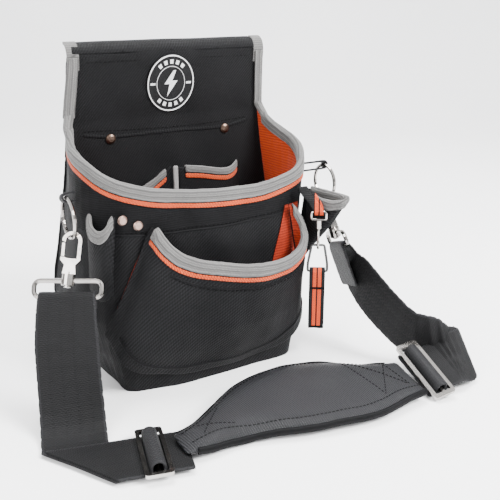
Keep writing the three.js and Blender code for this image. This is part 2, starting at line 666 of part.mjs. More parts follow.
// Rows of webbing from the end of the sewn tail, over the loop's lower bar, to its front.
function webbingRoundBar(hook) {
  const half = hook.bar.clone().multiplyScalar(barWidth / 2);
  const row = (fall, front, normal) => {
    const centre = hook.barLow.clone().addScaledVector(hook.fall, fall).addScaledVector(hook.front, front);
    return { left: centre.clone().sub(half), right: centre.clone().add(half), normal };
  };
  const back = hook.front.clone().negate();
  const turn = steps(6).map((t) => {
    const angle = Math.PI * t;
    const normal = hook.front.clone().multiplyScalar(-Math.cos(angle))
      .addScaledVector(hook.fall, -Math.sin(angle));
    return row(-wrapRadius * Math.sin(angle), -wrapRadius * Math.cos(angle), normal);
  });
  return [row(tailLength, -wrapRadius, back), row(tailLength / 2, -wrapRadius, back), ...turn];
}

// Rows of webbing along a smooth line, from [centre, direction across] pairs.
function webbingAlong(places, samples, width = webWidth) {
  const centres = smoothCurve(places.map(([centre]) => centre));
  const tips = smoothCurve(places.map(([centre, across]) => centre.clone().addScaledVector(across, width)));
  return steps(samples).map((t) => {
    const centre = centres.getPoint(t);
    const across = tips.getPoint(t).sub(centre).normalize();
    const normal = centres.getTangent(t).cross(across).normalize();
    const half = across.multiplyScalar(width / 2);
    return { left: centre.clone().sub(half), right: centre.clone().add(half), normal };
  });
}

// The left webbing runs down to the ground, is folded over at the crease and turns to the pad.
const floorAlong = unit(-0.23, -0.973, 0);
const floorAcross = unit(0.973, -0.23, 0);
const creaseStart = vec(-179.4, -102.8, 0);
const crease = unit(0.53, -0.848, 0);
const beyond = unit(-0.848, -0.53, 0);
const restZ = webThick / 2 + 0.5;
const foldRadius = 1.7;
const foldArc = Math.PI * foldRadius;

// A point of the flat webbing, s along and w across from its middle, after the fold.
function foldedPoint(s, w) {
  const flat = floorAlong.clone().multiplyScalar(s).addScaledVector(floorAcross, w + webWidth / 2);
  const past = flat.dot(beyond);
  const point = creaseStart.clone().addScaledVector(crease, flat.dot(crease));
  if (past <= 0) return point.addScaledVector(beyond, past).setZ(restZ);
  if (past >= foldArc) return point.addScaledVector(beyond, foldArc - past).setZ(restZ + 2 * foldRadius);
  const angle = past / foldRadius;
  return point.addScaledVector(beyond, foldRadius * Math.sin(angle))
    .setZ(restZ + foldRadius * (1 - Math.cos(angle)));
}
const along = (offset, w) => (offset - (w + webWidth / 2) * floorAcross.dot(beyond)) / floorAlong.dot(beyond);
function foldedRow(sLeft, sRight, angle) {
  const normal = up.clone().multiplyScalar(Math.cos(angle)).addScaledVector(beyond, Math.sin(angle));
  return { left: foldedPoint(sLeft, -webWidth / 2), right: foldedPoint(sRight, webWidth / 2), normal };
}

const leadIn = 6;
const creaseFar = along(0, webWidth / 2);
const farEnd = creaseFar + foldArc / floorAlong.dot(beyond);
const stripEnd = 116;
function leftRows() {
  const bar = webbingRoundBar(hooks.left);
  const start = mix(bar.at(-1).left, bar.at(-1).right, 0.5);
  const touch = mix(foldedPoint(-leadIn, -webWidth / 2), foldedPoint(-leadIn, webWidth / 2), 0.5);
  const leg = new THREE.CubicBezierCurve3(start, start.clone().addScaledVector(hooks.left.fall, 40),
    touch.clone().addScaledVector(floorAlong, -34), touch);
  const legRows = steps(10).slice(1).map((t) => {
    const across = mix(hooks.left.bar, floorAcross, t).normalize();
    const normal = leg.getTangent(t).cross(across).normalize();
    const half = across.multiplyScalar(ramp(barWidth, webWidth, Math.min(1, t / 0.3)) / 2);
    const centre = leg.getPoint(t);
    return { left: centre.clone().sub(half), right: centre.clone().add(half), normal };
  });
  const approach = steps(4).slice(1).map((t) => (
    foldedRow(ramp(-leadIn, 0, t), ramp(-leadIn, creaseFar, t), 0)));
  const bend = steps(6).slice(1).map((t) => (
    foldedRow(along(foldArc * t, -webWidth / 2), along(foldArc * t, webWidth / 2), Math.PI * t)));
  const squareUp = steps(4).slice(1).map((t) => (
    foldedRow(ramp(along(foldArc, -webWidth / 2), farEnd + 6, t), ramp(farEnd, farEnd + 6, t), Math.PI)));
  const run = steps(3).slice(1).map((t) => {
    const s = ramp(farEnd + 6, stripEnd, t);
    return foldedRow(s, s, Math.PI);
  });
  return [...bar, ...legRows, ...approach, ...bend, ...squareUp, ...run];
}
add('webbing_left', ribbon(leftRows(), webThick), 'webbing');

// The right webbing is flat where it runs through its slider.
const rightStrip = unit(0.985, -0.06, 0.16);
const rightAcross = unit(-0.03, 0.92, 0.38);
rightAcross.addScaledVector(rightStrip, -rightAcross.dot(rightStrip)).normalize();
const rightUp = rightStrip.clone().cross(rightAcross);
const rightStripAt = (s) => vec(158, -160.5, 14.6).addScaledVector(rightStrip, s);

// The right webbing leaves the pad, doubles back on itself and climbs to its loop.
function rightRows() {
  const bar = webbingRoundBar(hooks.right).reverse()
    .map(({ left, right, normal }) => ({ left: right, right: left, normal }));
  const top = mix(bar[0].left, bar[0].right, 0.5);
  const lift = hooks.right.bar.clone().negate();
  const rows = webbingAlong([
    [rightStripAt(-12.8), rightAcross], [rightStripAt(-4), rightAcross], [rightStripAt(4), rightAcross],
    [rightStripAt(12), rightAcross], [rightStripAt(19), rightAcross], [rightStripAt(26), rightAcross],
    [vec(191, -163.4, 21), unit(-0.02, 0.78, 0.62)],
    [vec(200, -165, 22.8), unit(0, 0.62, 0.78)], [vec(206.5, -163.6, 23.4), unit(0, 0.62, 0.78)],
    [vec(206.5, -159.8, 23.4), unit(0, 0.62, 0.78)], [vec(200, -158, 23.6), unit(0, 0.62, 0.78)],
    [vec(187, -144, 29), unit(0, 0.1, 0.99)],
    [vec(168, -122, 37), unit(0, -0.45, 0.89)], [vec(158, -106, 50), unit(0, -0.5, 0.86)],
    [vec(153, -84, 64), unit(0, -0.5, 0.86)], [vec(152, -60, 78), unit(-0.06, -0.6, 0.8)],
    [top.clone().addScaledVector(hooks.right.fall, 14).add(vec(0, -2, 0)), unit(-0.2, -0.8, 0.5)],
    [top, lift]], 34);
  return [...rows.slice(0, -1), ...bar];
}
add('webbing_right', ribbon(rightRows(), webThick), 'webbing');

// ---------------------------------------------------------------- sliders
const sliderLong = 64;
const sliderWide = 22;
const sliderThick = 3;
const sliderBar = 2.6;                 // the middle bar that the webbing is rolled over
const sliderRail = 3.2;
const rollRadius = 5.2;
const rollThick = 2.4;
const rollWide = 50;

function slider(frame) {
  const shape = new THREE.Shape();
  const [a, b, r] = [sliderLong / 2, sliderWide / 2, 3];
  shape.moveTo(a - r, -b).quadraticCurveTo(a, -b, a, r - b).lineTo(a, b - r).quadraticCurveTo(a, b, a - r, b);
  shape.lineTo(r - a, b).quadraticCurveTo(-a, b, -a, b - r).lineTo(-a, r - b).quadraticCurveTo(-a, -b, r - a, -b);
  for (const side of [-1, 1]) {
    const near = side * sliderBar / 2;
    const far = side * (sliderWide / 2 - sliderRail);
    const end = sliderLong / 2 - 4;
    shape.holes.push(new THREE.Path([[-end, near], [end, near], [end, far], [-end, far]]
      .map(([x, y]) => new THREE.Vector2(x, y))));
  }
  return new THREE.ExtrudeGeometry(shape, { depth: sliderThick, bevelEnabled: false, curveSegments: 4 })
    .applyMatrix4(frame);
}

// A roll of webbing over the slider's middle bar, with both feet down through the slots.
function sliderRoll(frame) {
  const arch = steps(10).map((t) => (
    [rollRadius * Math.cos(Math.PI * t), sliderThick + rollRadius * Math.sin(Math.PI * t)]));
  const path = [[rollRadius, 0.2], ...arch, [-rollRadius, 0.2]];
  const rows = path.map(([y, z], i) => {
    const [y0, z0] = path[Math.max(0, i - 1)];
    const [y1, z1] = path[Math.min(path.length - 1, i + 1)];
    const normal = vec(0, z1 - z0, y0 - y1).normalize();
    return { left: vec(-rollWide / 2, y, z), right: vec(rollWide / 2, y, z), normal };
  });
  return ribbon(rows, rollThick).applyMatrix4(frame);
}

const leftStrip = foldedPoint(farEnd + 6, 0).sub(foldedPoint(stripEnd, 0)).negate().normalize();
const leftRest = foldedPoint(along(foldArc, 0) + 54.5, 0).setZ(restZ + 2 * foldRadius + webThick / 2 + gap);
const sliderFrames = {
  left: placed(leftRest, up.clone().cross(leftStrip).negate(), leftStrip, up),
  right: placed(rightStripAt(0).addScaledVector(rightUp, webThick / 2 + 1), rightAcross.clone().negate(),
    rightStrip, rightUp),
};
for (const [side, frame] of Object.entries(sliderFrames)) {
  add(`slider_${side}`, slider(frame), 'nickel');
  add(`slider_roll_${side}`, sliderRoll(frame), 'webbing');
}

// ---------------------------------------------------------------- shoulder pad
const padBack = smoothCurve([vec(-88, -139, 10.5), vec(-65, -136, 14), vec(-22, -110, 18.5), vec(9, -101, 22),
  vec(42, -100, 24), vec(71, -109, 24), vec(97, -123, 22), vec(128, -135, 20), vec(144.5, -137, 19.5)]);
const padFront = smoothCurve([vec(-86, -169, 10.5), vec(-58, -172, 9.5), vec(-28, -173, 8.5), vec(2, -181, 8.5),
  vec(34, -189, 8.5), vec(62, -193, 8.5), vec(90, -194, 8.5), vec(122, -188, 8.5), vec(144.5, -185, 8.5)]);
const padDepths = [[0, 3], [0.08, 5], [0.22, 8], [0.5, 8.5], [0.78, 7.5], [0.92, 4], [1, 3]];
function shoulderPad() {
  const layer = (share) => steps(24).map((t) => {
    const [front, back] = [padFront.getPoint(t), padBack.getPoint(t)];
    const full = fromTable(padDepths, t);
    return steps(6).map((u) => {
      const point = mix(front, back, u);
      const puff = Math.sin(Math.PI * u) ** 0.6;
      point.z += ramp(0, 3, puff) * Math.sin(Math.PI * t) ** 0.5;
      point.z -= share * full * ramp(0.55, 1, puff);
      return point;
    });
  });
  return bodyBetween(layer(0), layer(1));
}
add('shoulder_pad', shoulderPad(), 'padding');

// ---------------------------------------------------------------- pocket rivets
const pocketRivets = { outer: [-84.5, 165], inner: [-71, 158.5] };
for (const [place, [x, z]] of Object.entries(pocketRivets)) {
  const rivet = add(`pocket_rivet_${place}`, new THREE.CylinderGeometry(4.3, 3, 1.6, 16), 'copper');
  rivet.position.set(x, wallFront - 1.6, z);
}

// ---------------------------------------------------------------- tape strap
const tapeAcross = unit(0.85, -0.53, 0);
const tapeOut = unit(-0.53, -0.85, 0);
const tapeFrame = placed(vec(103, -62, 0), tapeAcross, tapeOut.clone().negate(), up);
const tapeWidth = 15;

// A closed loop of tape hanging from z = high to z = low, with its two layers side by side.
function tapeLoop(high, low, radius) {
  const section = [
    ...steps(6).map((t) => [radius * Math.cos(Math.PI * t), high + radius * Math.sin(Math.PI * t)]),
    ...steps(6).map((t) => [-radius * Math.cos(Math.PI * t), low - radius * Math.sin(Math.PI * t)])];
  const layer = (out) => section.map(([y, z], i) => {
    const middle = i < 7 ? high : low;
    const outward = vec(0, y, z - middle).normalize();
    return vec(0, y, z).addScaledVector(outward, out);
  });
  const [outer, inner] = [layer(fabric / 2), layer(-fabric / 2)];
  const ring = outer.map((p, i) => [p, inner[i]]);
  const wide = tapeWidth / 2;
  return sweep(ring.length, (i, a, b) => mix(ring[i][0], ring[i][1], b).setX(a), [[-wide, 0], [wide, 0],
    [tapeWidth / 2, 1], [-tapeWidth / 2, 1]], true);
}
add('tape_loop', tapeLoop(90, 36, 3.2).applyMatrix4(tapeFrame), 'webbing');

// The loop hangs on a wire ring, the ring in the snap's eye, and the snap on a tab sewn to the wall.
const tapeWire = 1.2;
const inTape = (x, y, z) => vec(x, y, z).applyMatrix4(tapeFrame);
const tapeRingPath = [[-9.2, 90], [9.2, 90], [9.2, 98], [6, 116.5], [-6, 116.5], [-9.2, 98]];
function roundedPath(corners, radius, toPoint) {
  const points = corners.flatMap((corner, i) => {
    const p = new THREE.Vector2(...corner);
    const before = new THREE.Vector2(...corners.at(i - 1));
    const after = new THREE.Vector2(...corners[(i + 1) % corners.length]);
    const from = p.clone().add(before.sub(p).setLength(radius));
    const to = p.clone().add(after.sub(p).setLength(radius));
    return steps(2).map((t) => from.clone().lerp(p, t).lerp(p.clone().lerp(to, t), t));
  });
  return points.map((p) => toPoint(p.x, p.y));
}
const tapeRing = rod(roundedPath(tapeRingPath, 1.6, (x, z) => inTape(x, 0, z)), tapeWire, tapeOut, true, 6);
add('tape_ring', tapeRing, 'darkMetal');

const eyeLow = 113.7;
const snapTop = 149;
function tapeSnap() {
  const hookPath = [[-4.6, 121], [-4.6, 117], [-3, 114.4], [0, eyeLow], [3, 114.4], [4.6, 117], [4.6, 124],
    [4.6, 130], [3, 133], [0, 134.4]].map(([y, z]) => inTape(0, y, z));
  const hook = toSolid(rod(hookPath, tapeWire, tapeAcross, false, 8));
  const barrel = toSolid(new THREE.CylinderGeometry(2.5, 2.5, 8, 12).rotateX(Math.PI / 2).translate(0, 0, 137)
    .applyMatrix4(tapeFrame));
  const corners = [[-7, 141.5], [7, 141.5], [7, snapTop], [-7, snapTop]];
  const loopPath = roundedPath(corners, 1.6, (x, z) => inTape(x, 0, z));
  return toGeometry(hook.add(barrel).add(toSolid(rod(loopPath, tapeWire, tapeOut, true, 8))));
}
add('tape_snap', tapeSnap(), 'nickel');
const gatePath = [inTape(0, -4.6, 122.6), inTape(0, -4.2, 127), inTape(0, -3, 131)];
add('tape_gate', rod(gatePath, 0.9, tapeAcross, false, 8), 'nickel');

const tabInside = 2.7;
const tabTop = unit(0.97, -0.25, 0);
const tapeTab = webbingAlong([
  [vec(90, -52.4, 173), vec(1, 0, 0)], [vec(93, -54.5, 166), tabTop], [vec(98.5, -60.5, 157), tapeAcross],
  [inTape(0, -tabInside, 149.5), tapeAcross], [inTape(0, 0, 146.4), tapeAcross],
  [inTape(0, tabInside, 149.5), tapeAcross],
  [vec(101.5, -58.5, 158), tapeAcross], [vec(96.5, -52.6, 168), tabTop]], 22, 10);
add('tape_tab', ribbon(tapeTab, 1.4), 'webbing');

export default pouch;
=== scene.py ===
"""The looks of the tool pouch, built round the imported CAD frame. Lengths are in metres."""

import heapq
import json
import math

import bmesh
import bpy
import numpy as np
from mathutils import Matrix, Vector, noise
from mathutils.bvhtree import BVHTree

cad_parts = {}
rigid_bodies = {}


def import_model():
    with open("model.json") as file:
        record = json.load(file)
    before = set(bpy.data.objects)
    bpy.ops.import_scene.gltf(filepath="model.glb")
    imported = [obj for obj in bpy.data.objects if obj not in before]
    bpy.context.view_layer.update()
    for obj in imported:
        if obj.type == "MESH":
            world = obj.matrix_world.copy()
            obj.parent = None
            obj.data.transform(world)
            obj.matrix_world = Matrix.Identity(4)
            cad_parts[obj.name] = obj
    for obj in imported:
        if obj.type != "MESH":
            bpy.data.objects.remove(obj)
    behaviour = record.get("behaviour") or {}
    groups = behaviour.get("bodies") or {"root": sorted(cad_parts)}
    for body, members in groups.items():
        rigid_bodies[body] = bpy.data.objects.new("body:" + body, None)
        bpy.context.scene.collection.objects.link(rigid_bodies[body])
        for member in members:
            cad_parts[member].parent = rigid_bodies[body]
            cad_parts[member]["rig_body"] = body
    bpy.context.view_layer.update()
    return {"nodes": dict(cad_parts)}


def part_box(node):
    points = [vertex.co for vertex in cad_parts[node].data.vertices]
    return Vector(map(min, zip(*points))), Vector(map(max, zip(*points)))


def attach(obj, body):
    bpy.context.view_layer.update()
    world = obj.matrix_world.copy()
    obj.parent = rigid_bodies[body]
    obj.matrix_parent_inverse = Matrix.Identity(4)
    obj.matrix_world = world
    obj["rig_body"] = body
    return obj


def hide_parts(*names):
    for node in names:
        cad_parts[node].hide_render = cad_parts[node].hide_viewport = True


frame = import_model()
nodes = frame["nodes"]
noise.seed_set(3)                  # without this, noise_vector starts from the clock

MM = 0.001
UP = Vector((0, 0, 1))
BACK = Vector((0, 1, 0))
PLAN_X, PLAN_Y = 0.105, 0.045      # half sizes of the oval that the pouch's plan is close to
WEB_WIDTH = 0.05                   # flat coordinates across the shoulder webbing
TAPE_WIDTH = 0.015                 # flat coordinates across the tape strap
GROUND_GAP = 0.0004                # cloth that lies on the ground keeps at least this far above it


# ---------------------------------------------------------------- materials

def add(tree, kind, inputs=None, **settings):
    """A new shader node. Each input is a value, or a socket to link from."""
    node = tree.nodes.new(kind)
    for key, value in settings.items():
        setattr(node, key, value)
    for key, value in (inputs or {}).items():
        if isinstance(value, bpy.types.NodeSocket):
            tree.links.new(value, node.inputs[key])
        else:
            node.inputs[key].default_value = value
    return node


def calc(tree, operation, *values, clamp=False):
    """A maths node's result."""
    node = add(tree, "ShaderNodeMath", dict(enumerate(values)), operation=operation, use_clamp=clamp)
    return node.outputs[0]


def mixed(tree, factor, low, high):
    """A colour that goes from low to high as factor goes from 0 to 1."""
    node = tree.nodes.new("ShaderNodeMix")
    node.data_type = "RGBA"
    for key, value in ((0, factor), (6, low), (7, high)):
        if isinstance(value, bpy.types.NodeSocket):
            tree.links.new(value, node.inputs[key])
        else:
            node.inputs[key].default_value = value
    return node.outputs[2]


def speck(tree, scale, low, high, detail=3, where=None):
    """Noise stretched so that it runs from 0 at low to 1 at high."""
    where = where or add(tree, "ShaderNodeTexCoord").outputs["Object"]
    source = add(tree, "ShaderNodeTexNoise", {"Vector": where, "Scale": scale, "Detail": detail})
    return add(tree, "ShaderNodeMapRange", {"Value": source.outputs[0], "From Min": low,
                                            "From Max": high}).outputs[0]


def rgb(r, g, b):
    return (r, g, b, 1.0)


def surface(name, roughness=0.7, metallic=0.0, sheen=0.0, sheen_roughness=0.5, specular=0.5):
    """A new material with its node tree and its shader."""
    material = bpy.data.materials.new(name)
    material.use_nodes = True
    tree = material.node_tree
    shader = tree.nodes["Principled BSDF"]
    shader.inputs["Roughness"].default_value = roughness
    shader.inputs["Metallic"].default_value = metallic
    shader.inputs["Sheen Weight"].default_value = sheen
    shader.inputs["Sheen Roughness"].default_value = sheen_roughness
    shader.inputs["Specular IOR Level"].default_value = specular
    return material, tree, shader


def finish_surface(tree, shader, colour, height, depth, roughness=None):
    """Links a material's colour, its bumps and, if given, its roughness."""
    bump = add(tree, "ShaderNodeBump", {"Height": height, "Distance": depth, "Strength": 1.0})
    tree.links.new(bump.outputs[0], shader.inputs["Normal"])
    tree.links.new(colour, shader.inputs["Base Color"])
    if roughness is not None:
        tree.links.new(roughness, shader.inputs["Roughness"])


def flat_axes(tree, wobble=0.0004):
    """The piece's own flat coordinates along and across the cloth, in metres, with a little wobble."""
    flat = add(tree, "ShaderNodeUVMap", uv_map="flat").outputs[0]
    shake = add(tree, "ShaderNodeTexNoise", {"Vector": flat, "Scale": 140.0, "Detail": 2.0})
    centred = add(tree, "ShaderNodeVectorMath", {0: shake.outputs["Color"], 1: (0.5, 0.5, 0.5)},
                  operation="SUBTRACT")
    moved = add(tree, "ShaderNodeVectorMath", {0: centred.outputs[0], 1: (wobble, wobble, 0), 2: flat},
                operation="MULTIPLY_ADD")
    split = add(tree, "ShaderNodeSeparateXYZ", {0: moved.outputs[0]})
    return split.outputs[0], split.outputs[1], flat


def ridges(tree, distance, pitch, shift=0.0):
    """A wave from 0 to 1 that repeats every pitch along distance."""
    turn = calc(tree, "MULTIPLY_ADD", distance, 2 * math.pi / pitch, shift)
    return calc(tree, "MULTIPLY_ADD", calc(tree, "SINE", turn), 0.5, 0.5)


def woven(name, dark, light, pitch, slant=0.0, rib=0.0, roughness=0.75, sheen=0.3, depth=0.00022,
          patchy=0.35, specular=0.35, fade=None):
    """Woven cloth. Slant adds diagonal twill lines and rib adds ribs along the cloth."""
    material, tree, shader = surface(name, roughness, 0, sheen, 0.45, specular)
    u, v, flat = flat_axes(tree)
    crossing = calc(tree, "MULTIPLY", ridges(tree, u, pitch), ridges(tree, v, pitch, 1.1))
    height = crossing
    if slant:
        diagonal = calc(tree, "SUBTRACT", u, calc(tree, "MULTIPLY", v, 0.8))
        lines = ridges(tree, diagonal, pitch * 2.1)
        height = calc(tree, "ADD", calc(tree, "MULTIPLY", crossing, 1 - slant),
                      calc(tree, "MULTIPLY", lines, slant))
    if rib:
        ribs = calc(tree, "POWER", ridges(tree, v, pitch * 2.2), 0.6)
        height = calc(tree, "ADD", calc(tree, "MULTIPLY", height, 1 - rib),
                      calc(tree, "MULTIPLY", ribs, rib))
    grain = speck(tree, 2600.0, 0.3, 0.7, 1, flat)
    tone = calc(tree, "MULTIPLY", height, calc(tree, "MULTIPLY_ADD", grain, 0.9, 0.35), clamp=True)
    blotch = speck(tree, 26.0, 0.32, 0.68, 4)
    uneven = calc(tree, "MULTIPLY_ADD", blotch, patchy, 1 - patchy * 0.5)
    tone = calc(tree, "MULTIPLY", tone, uneven, clamp=True)
    colour = mixed(tree, tone, dark, light)
    if fade is not None:
        worn = calc(tree, "MULTIPLY", speck(tree, 55.0, 0.52, 0.72, 5), 0.5)
        colour = mixed(tree, worn, colour, fade)
    rough = calc(tree, "MULTIPLY_ADD", tone, -0.12, roughness + 0.06)
    finish_surface(tree, shader, colour, calc(tree, "MULTIPLY_ADD", grain, 0.25, height), depth, rough)
    return material


def webbed(name, dark, light, edge, width, stripe=None):
    """Webbing: fine weave across it, four dotted ribs along it and a plain edge on each side."""
    material, tree, shader = surface(name, 0.58, 0, 0.01, 0.4, 0.13)
    u, v, flat = flat_axes(tree, 0.0003)
    across = ridges(tree, u, 0.0017)
    zigzag = calc(tree, "ABSOLUTE", calc(tree, "SUBTRACT", calc(tree, "FRACT",
                  calc(tree, "MULTIPLY", v, 5 / width)), 0.5))
    slanted = ridges(tree, calc(tree, "MULTIPLY_ADD", zigzag, 0.009, u), 0.0026)
    wave = calc(tree, "COSINE", calc(tree, "MULTIPLY", v, 2 * math.pi * 5 / width))
    ribs = calc(tree, "GREATER_THAN", wave, 0.86)
    dots = calc(tree, "MULTIPLY", ribs, ridges(tree, u, 0.0034))
    height = calc(tree, "ADD", calc(tree, "MULTIPLY", across, 0.55), calc(tree, "MULTIPLY", slanted, 0.45))
    grain = speck(tree, 2400.0, 0.3, 0.7, 1, flat)
    tone = calc(tree, "MULTIPLY", height, calc(tree, "MULTIPLY_ADD", grain, 0.8, 0.4), clamp=True)
    blotch = speck(tree, 34.0, 0.3, 0.7, 4)
    tone = calc(tree, "MULTIPLY", tone, calc(tree, "MULTIPLY_ADD", blotch, 0.4, 0.75), clamp=True)
    colour = mixed(tree, tone, dark, light)
    colour = mixed(tree, calc(tree, "MULTIPLY", dots, 0.4), colour, dark)
    away = calc(tree, "ABSOLUTE", calc(tree, "SUBTRACT", v, width / 2))
    selvedge = calc(tree, "GREATER_THAN", away, width * 0.46)
    if stripe is None:
        colour = mixed(tree, calc(tree, "MULTIPLY", selvedge, 0.55), colour, edge)
    else:
        band = calc(tree, "LESS_THAN", away, width * 0.27)
        middle = calc(tree, "LESS_THAN", away, width * 0.045)
        inside = calc(tree, "MULTIPLY", band, calc(tree, "SUBTRACT", 1.0, middle))
        chain = mixed(tree, slanted, rgb(0.30, 0.035, 0.01), stripe)
        colour = mixed(tree, inside, colour, chain)
    bumps = calc(tree, "ADD", height, calc(tree, "MULTIPLY", dots, -0.8))
    raised_edge = calc(tree, "MULTIPLY", selvedge, 0.5)
    finish_surface(tree, shader, colour, calc(tree, "ADD", bumps, raised_edge), 0.00025)
    return material


def metal(name, colour, tint, roughness, scratch=0.12):
    """Metal with smudges of tint. Scratch is how much rougher the smudges are."""
    material, tree, shader = surface(name, roughness, 1.0)
    smudge = speck(tree, 60.0, 0.35, 0.7, 3)
    fine = speck(tree, 420.0, 0.4, 0.62, 3)
    tone = mixed(tree, calc(tree, "MULTIPLY", smudge, 0.45), colour, tint)
    rough = calc(tree, "MULTIPLY_ADD", smudge, scratch, calc(tree, "MULTIPLY_ADD", fine, 0.05, roughness))
    tree.links.new(tone, shader.inputs["Base Color"])
    tree.links.new(rough, shader.inputs["Roughness"])
    return material


def threaded(name, colour, twist=0.0009):
    """Sewing thread with a strand every twist metres."""
    material, tree, shader = surface(name, 0.7, 0, 0.0, specular=0.06)
    where = add(tree, "ShaderNodeTexCoord").outputs["Object"]
    split = add(tree, "ShaderNodeSeparateXYZ", {0: where})
    turn = calc(tree, "ADD", calc(tree, "ADD", split.outputs[0], split.outputs[1]), split.outputs[2])
    strands = ridges(tree, turn, twist)
    dark = tuple(c * 0.45 for c in colour[:3]) + (1.0,)
    finish_surface(tree, shader, mixed(tree, strands, dark, colour), strands, 0.0001)
    return material


def moulded(name, colour, light, roughness):
    """Moulded rubber or print with a fine grain."""
    material, tree, shader = surface(name, roughness, 0, 0, 0.5, 0.12)
    grain = speck(tree, 700.0, 0.35, 0.65, 4)
    finish_surface(tree, shader, mixed(tree, grain, colour, light), grain, 0.00006)
    return material


black_cloth = woven("black_cloth", rgb(0.0012, 0.0012, 0.0013), rgb(0.0125, 0.0125, 0.0138), 0.0013,
                    slant=0.55, roughness=0.6, sheen=0.0, depth=0.00035, specular=0.09)
hem_cloth = woven("hem_cloth", rgb(0.001, 0.001, 0.0011), rgb(0.0085, 0.0085, 0.0095), 0.0009, rib=0.5,
                  roughness=0.66, sheen=0.0, specular=0.08)
grey_tape = woven("grey_tape", rgb(0.045, 0.044, 0.043), rgb(0.215, 0.21, 0.205), 0.0012, rib=0.35,
                  roughness=0.85, sheen=0.12, depth=0.00025, specular=0.2, fade=rgb(0.085, 0.083, 0.08))
pale_tape = woven("pale_tape", rgb(0.13, 0.128, 0.125), rgb(0.40, 0.39, 0.385), 0.0011, rib=0.2,
                  roughness=0.85)
orange_cloth = woven("orange_cloth", rgb(0.20, 0.014, 0.003), rgb(0.62, 0.070, 0.012), 0.0012, rib=0.6,
                     roughness=0.7, sheen=0.05, depth=0.0003, specular=0.2)
deep_orange = woven("deep_orange", rgb(0.10, 0.007, 0.002), rgb(0.34, 0.028, 0.006), 0.0012, rib=0.6,
                    roughness=0.75, sheen=0.03, depth=0.0003, specular=0.15)
orange_piping = woven("orange_piping", rgb(0.20, 0.018, 0.004), rgb(0.66, 0.095, 0.018), 0.0013, slant=0.8,
                      roughness=0.7, sheen=0.08, depth=0.0003, specular=0.2)
webbing_cloth = webbed("webbing_cloth", rgb(0.0012, 0.0012, 0.0013), rgb(0.0092, 0.0092, 0.0101),
                       rgb(0.0155, 0.0155, 0.017), WEB_WIDTH)
tape_cloth = webbed("tape_cloth", rgb(0.001, 0.001, 0.0011), rgb(0.009, 0.009, 0.010),
                    rgb(0.008, 0.008, 0.009), TAPE_WIDTH, stripe=rgb(0.60, 0.062, 0.012))
pad_cloth = woven("pad_cloth", rgb(0.0008, 0.0008, 0.001), rgb(0.0112, 0.0115, 0.0145), 0.0008, rib=0.9,
                  roughness=0.48, sheen=0.01, depth=0.0004, specular=0.26)
nickel = metal("nickel", rgb(0.40, 0.38, 0.36), rgb(0.24, 0.23, 0.215), 0.12, 0.06)
dark_wire = metal("dark_wire", rgb(0.06, 0.06, 0.06), rgb(0.03, 0.03, 0.03), 0.3)
copper = metal("copper", rgb(0.10, 0.068, 0.052), rgb(0.045, 0.03, 0.025), 0.3)
pale_copper = metal("pale_copper", rgb(0.38, 0.26, 0.22), rgb(0.22, 0.15, 0.12), 0.36)
black_thread = threaded("black_thread", rgb(0.0035, 0.0035, 0.0038))
grey_thread = threaded("grey_thread", rgb(0.10, 0.10, 0.10))
patch_face = moulded("patch_face", rgb(0.003, 0.003, 0.0033), rgb(0.0075, 0.0075, 0.008), 0.6)
white_print = moulded("white_print", rgb(0.50, 0.50, 0.50), rgb(0.60, 0.60, 0.60), 0.55)


# ---------------------------------------------------------------- cloth copies of CAD nodes

def welded(node):
    """The node's mesh with the vertices that were split for shading joined again."""
    bm = bmesh.new()
    bm.from_mesh(nodes[node].data)
    bmesh.ops.remove_doubles(bm, verts=bm.verts[:], dist=2e-6)
    for layer in list(bm.loops.layers.uv.values()):
        bm.loops.layers.uv.remove(layer)
    return bm


def refine(bm, cell):
    """Splits edges longer than cell, so that the cloth can bend."""
    for _ in range(9):
        long_edges = [e for e in bm.edges if e.calc_length() > cell]
        if not long_edges:
            break
        bmesh.ops.subdivide_edges(bm, edges=long_edges, cuts=1)
        bmesh.ops.triangulate(bm, faces=[f for f in bm.faces if len(f.verts) > 3])


def relax(bm, times, factor=0.5):
    """Rounds a mesh off by moving each vertex towards its neighbours."""
    for _ in range(times):
        bmesh.ops.smooth_vert(bm, verts=bm.verts, factor=factor, use_axis_x=True, use_axis_y=True,
                              use_axis_z=True)


def paint_flat(bm, where):
    """Writes each corner's flat coordinates from where(vertex)."""
    layer = bm.loops.layers.uv.new("flat")
    for face in bm.faces:
        for loop in face.loops:
            loop[layer].uv = where(loop.vert)


def outward(p):
    """The level direction out of the pouch at p."""
    flat = Vector((p.x / PLAN_X, (p.y + 0.005) / PLAN_Y, 0))
    if flat.length <= 1e-6:
        return Vector((0, -1, 0))
    return Vector((flat.x / PLAN_X, flat.y / PLAN_Y, 0)).normalized()


def squared(p):
    """Draws the low front corners out to the corners of the boxed base."""
    low = max(0.0, 1 - p.z / 0.085)
    if low == 0.0:
        return p
    for hand in (-1, 1):
        away = ((p.x - hand * 0.083) / 0.020) ** 2 + ((p.y + 0.040) / 0.016) ** 2
        p = p + Vector((hand * 0.0062, -0.0052, 0)) * math.exp(-away) * low ** 0.6
    return p


def settled(p, soft=1.0):
    """Where cloth at p rests once it has creased: one field for every layer, so that they stay together."""
    swell = noise.noise(Vector((p.x * 13, p.y * 13, p.z * 10 + 2))) * 3.2
    folds = noise.noise(Vector((p.x * 34 + p.z * 17, p.y * 20, p.z * 11 - p.x * 9))) * 2.5
    fine = noise.noise(Vector((p.x * 75, p.y * 75, p.z * 55))) * 0.35
    low = max(0.0, 1 - p.z / 0.075) * min(1.0, p.z / 0.006)
    crumple = noise.noise(Vector((p.x * 42 - p.z * 30, p.y * 42 + 9, p.z * 38))) * 1.5 * low
    push = (swell + folds + fine + crumple) * MM * soft
    if soft:
        p = squared(p)
    return p + outward(p) * push + noise.noise_vector(p * 26) * 0.4 * MM * soft


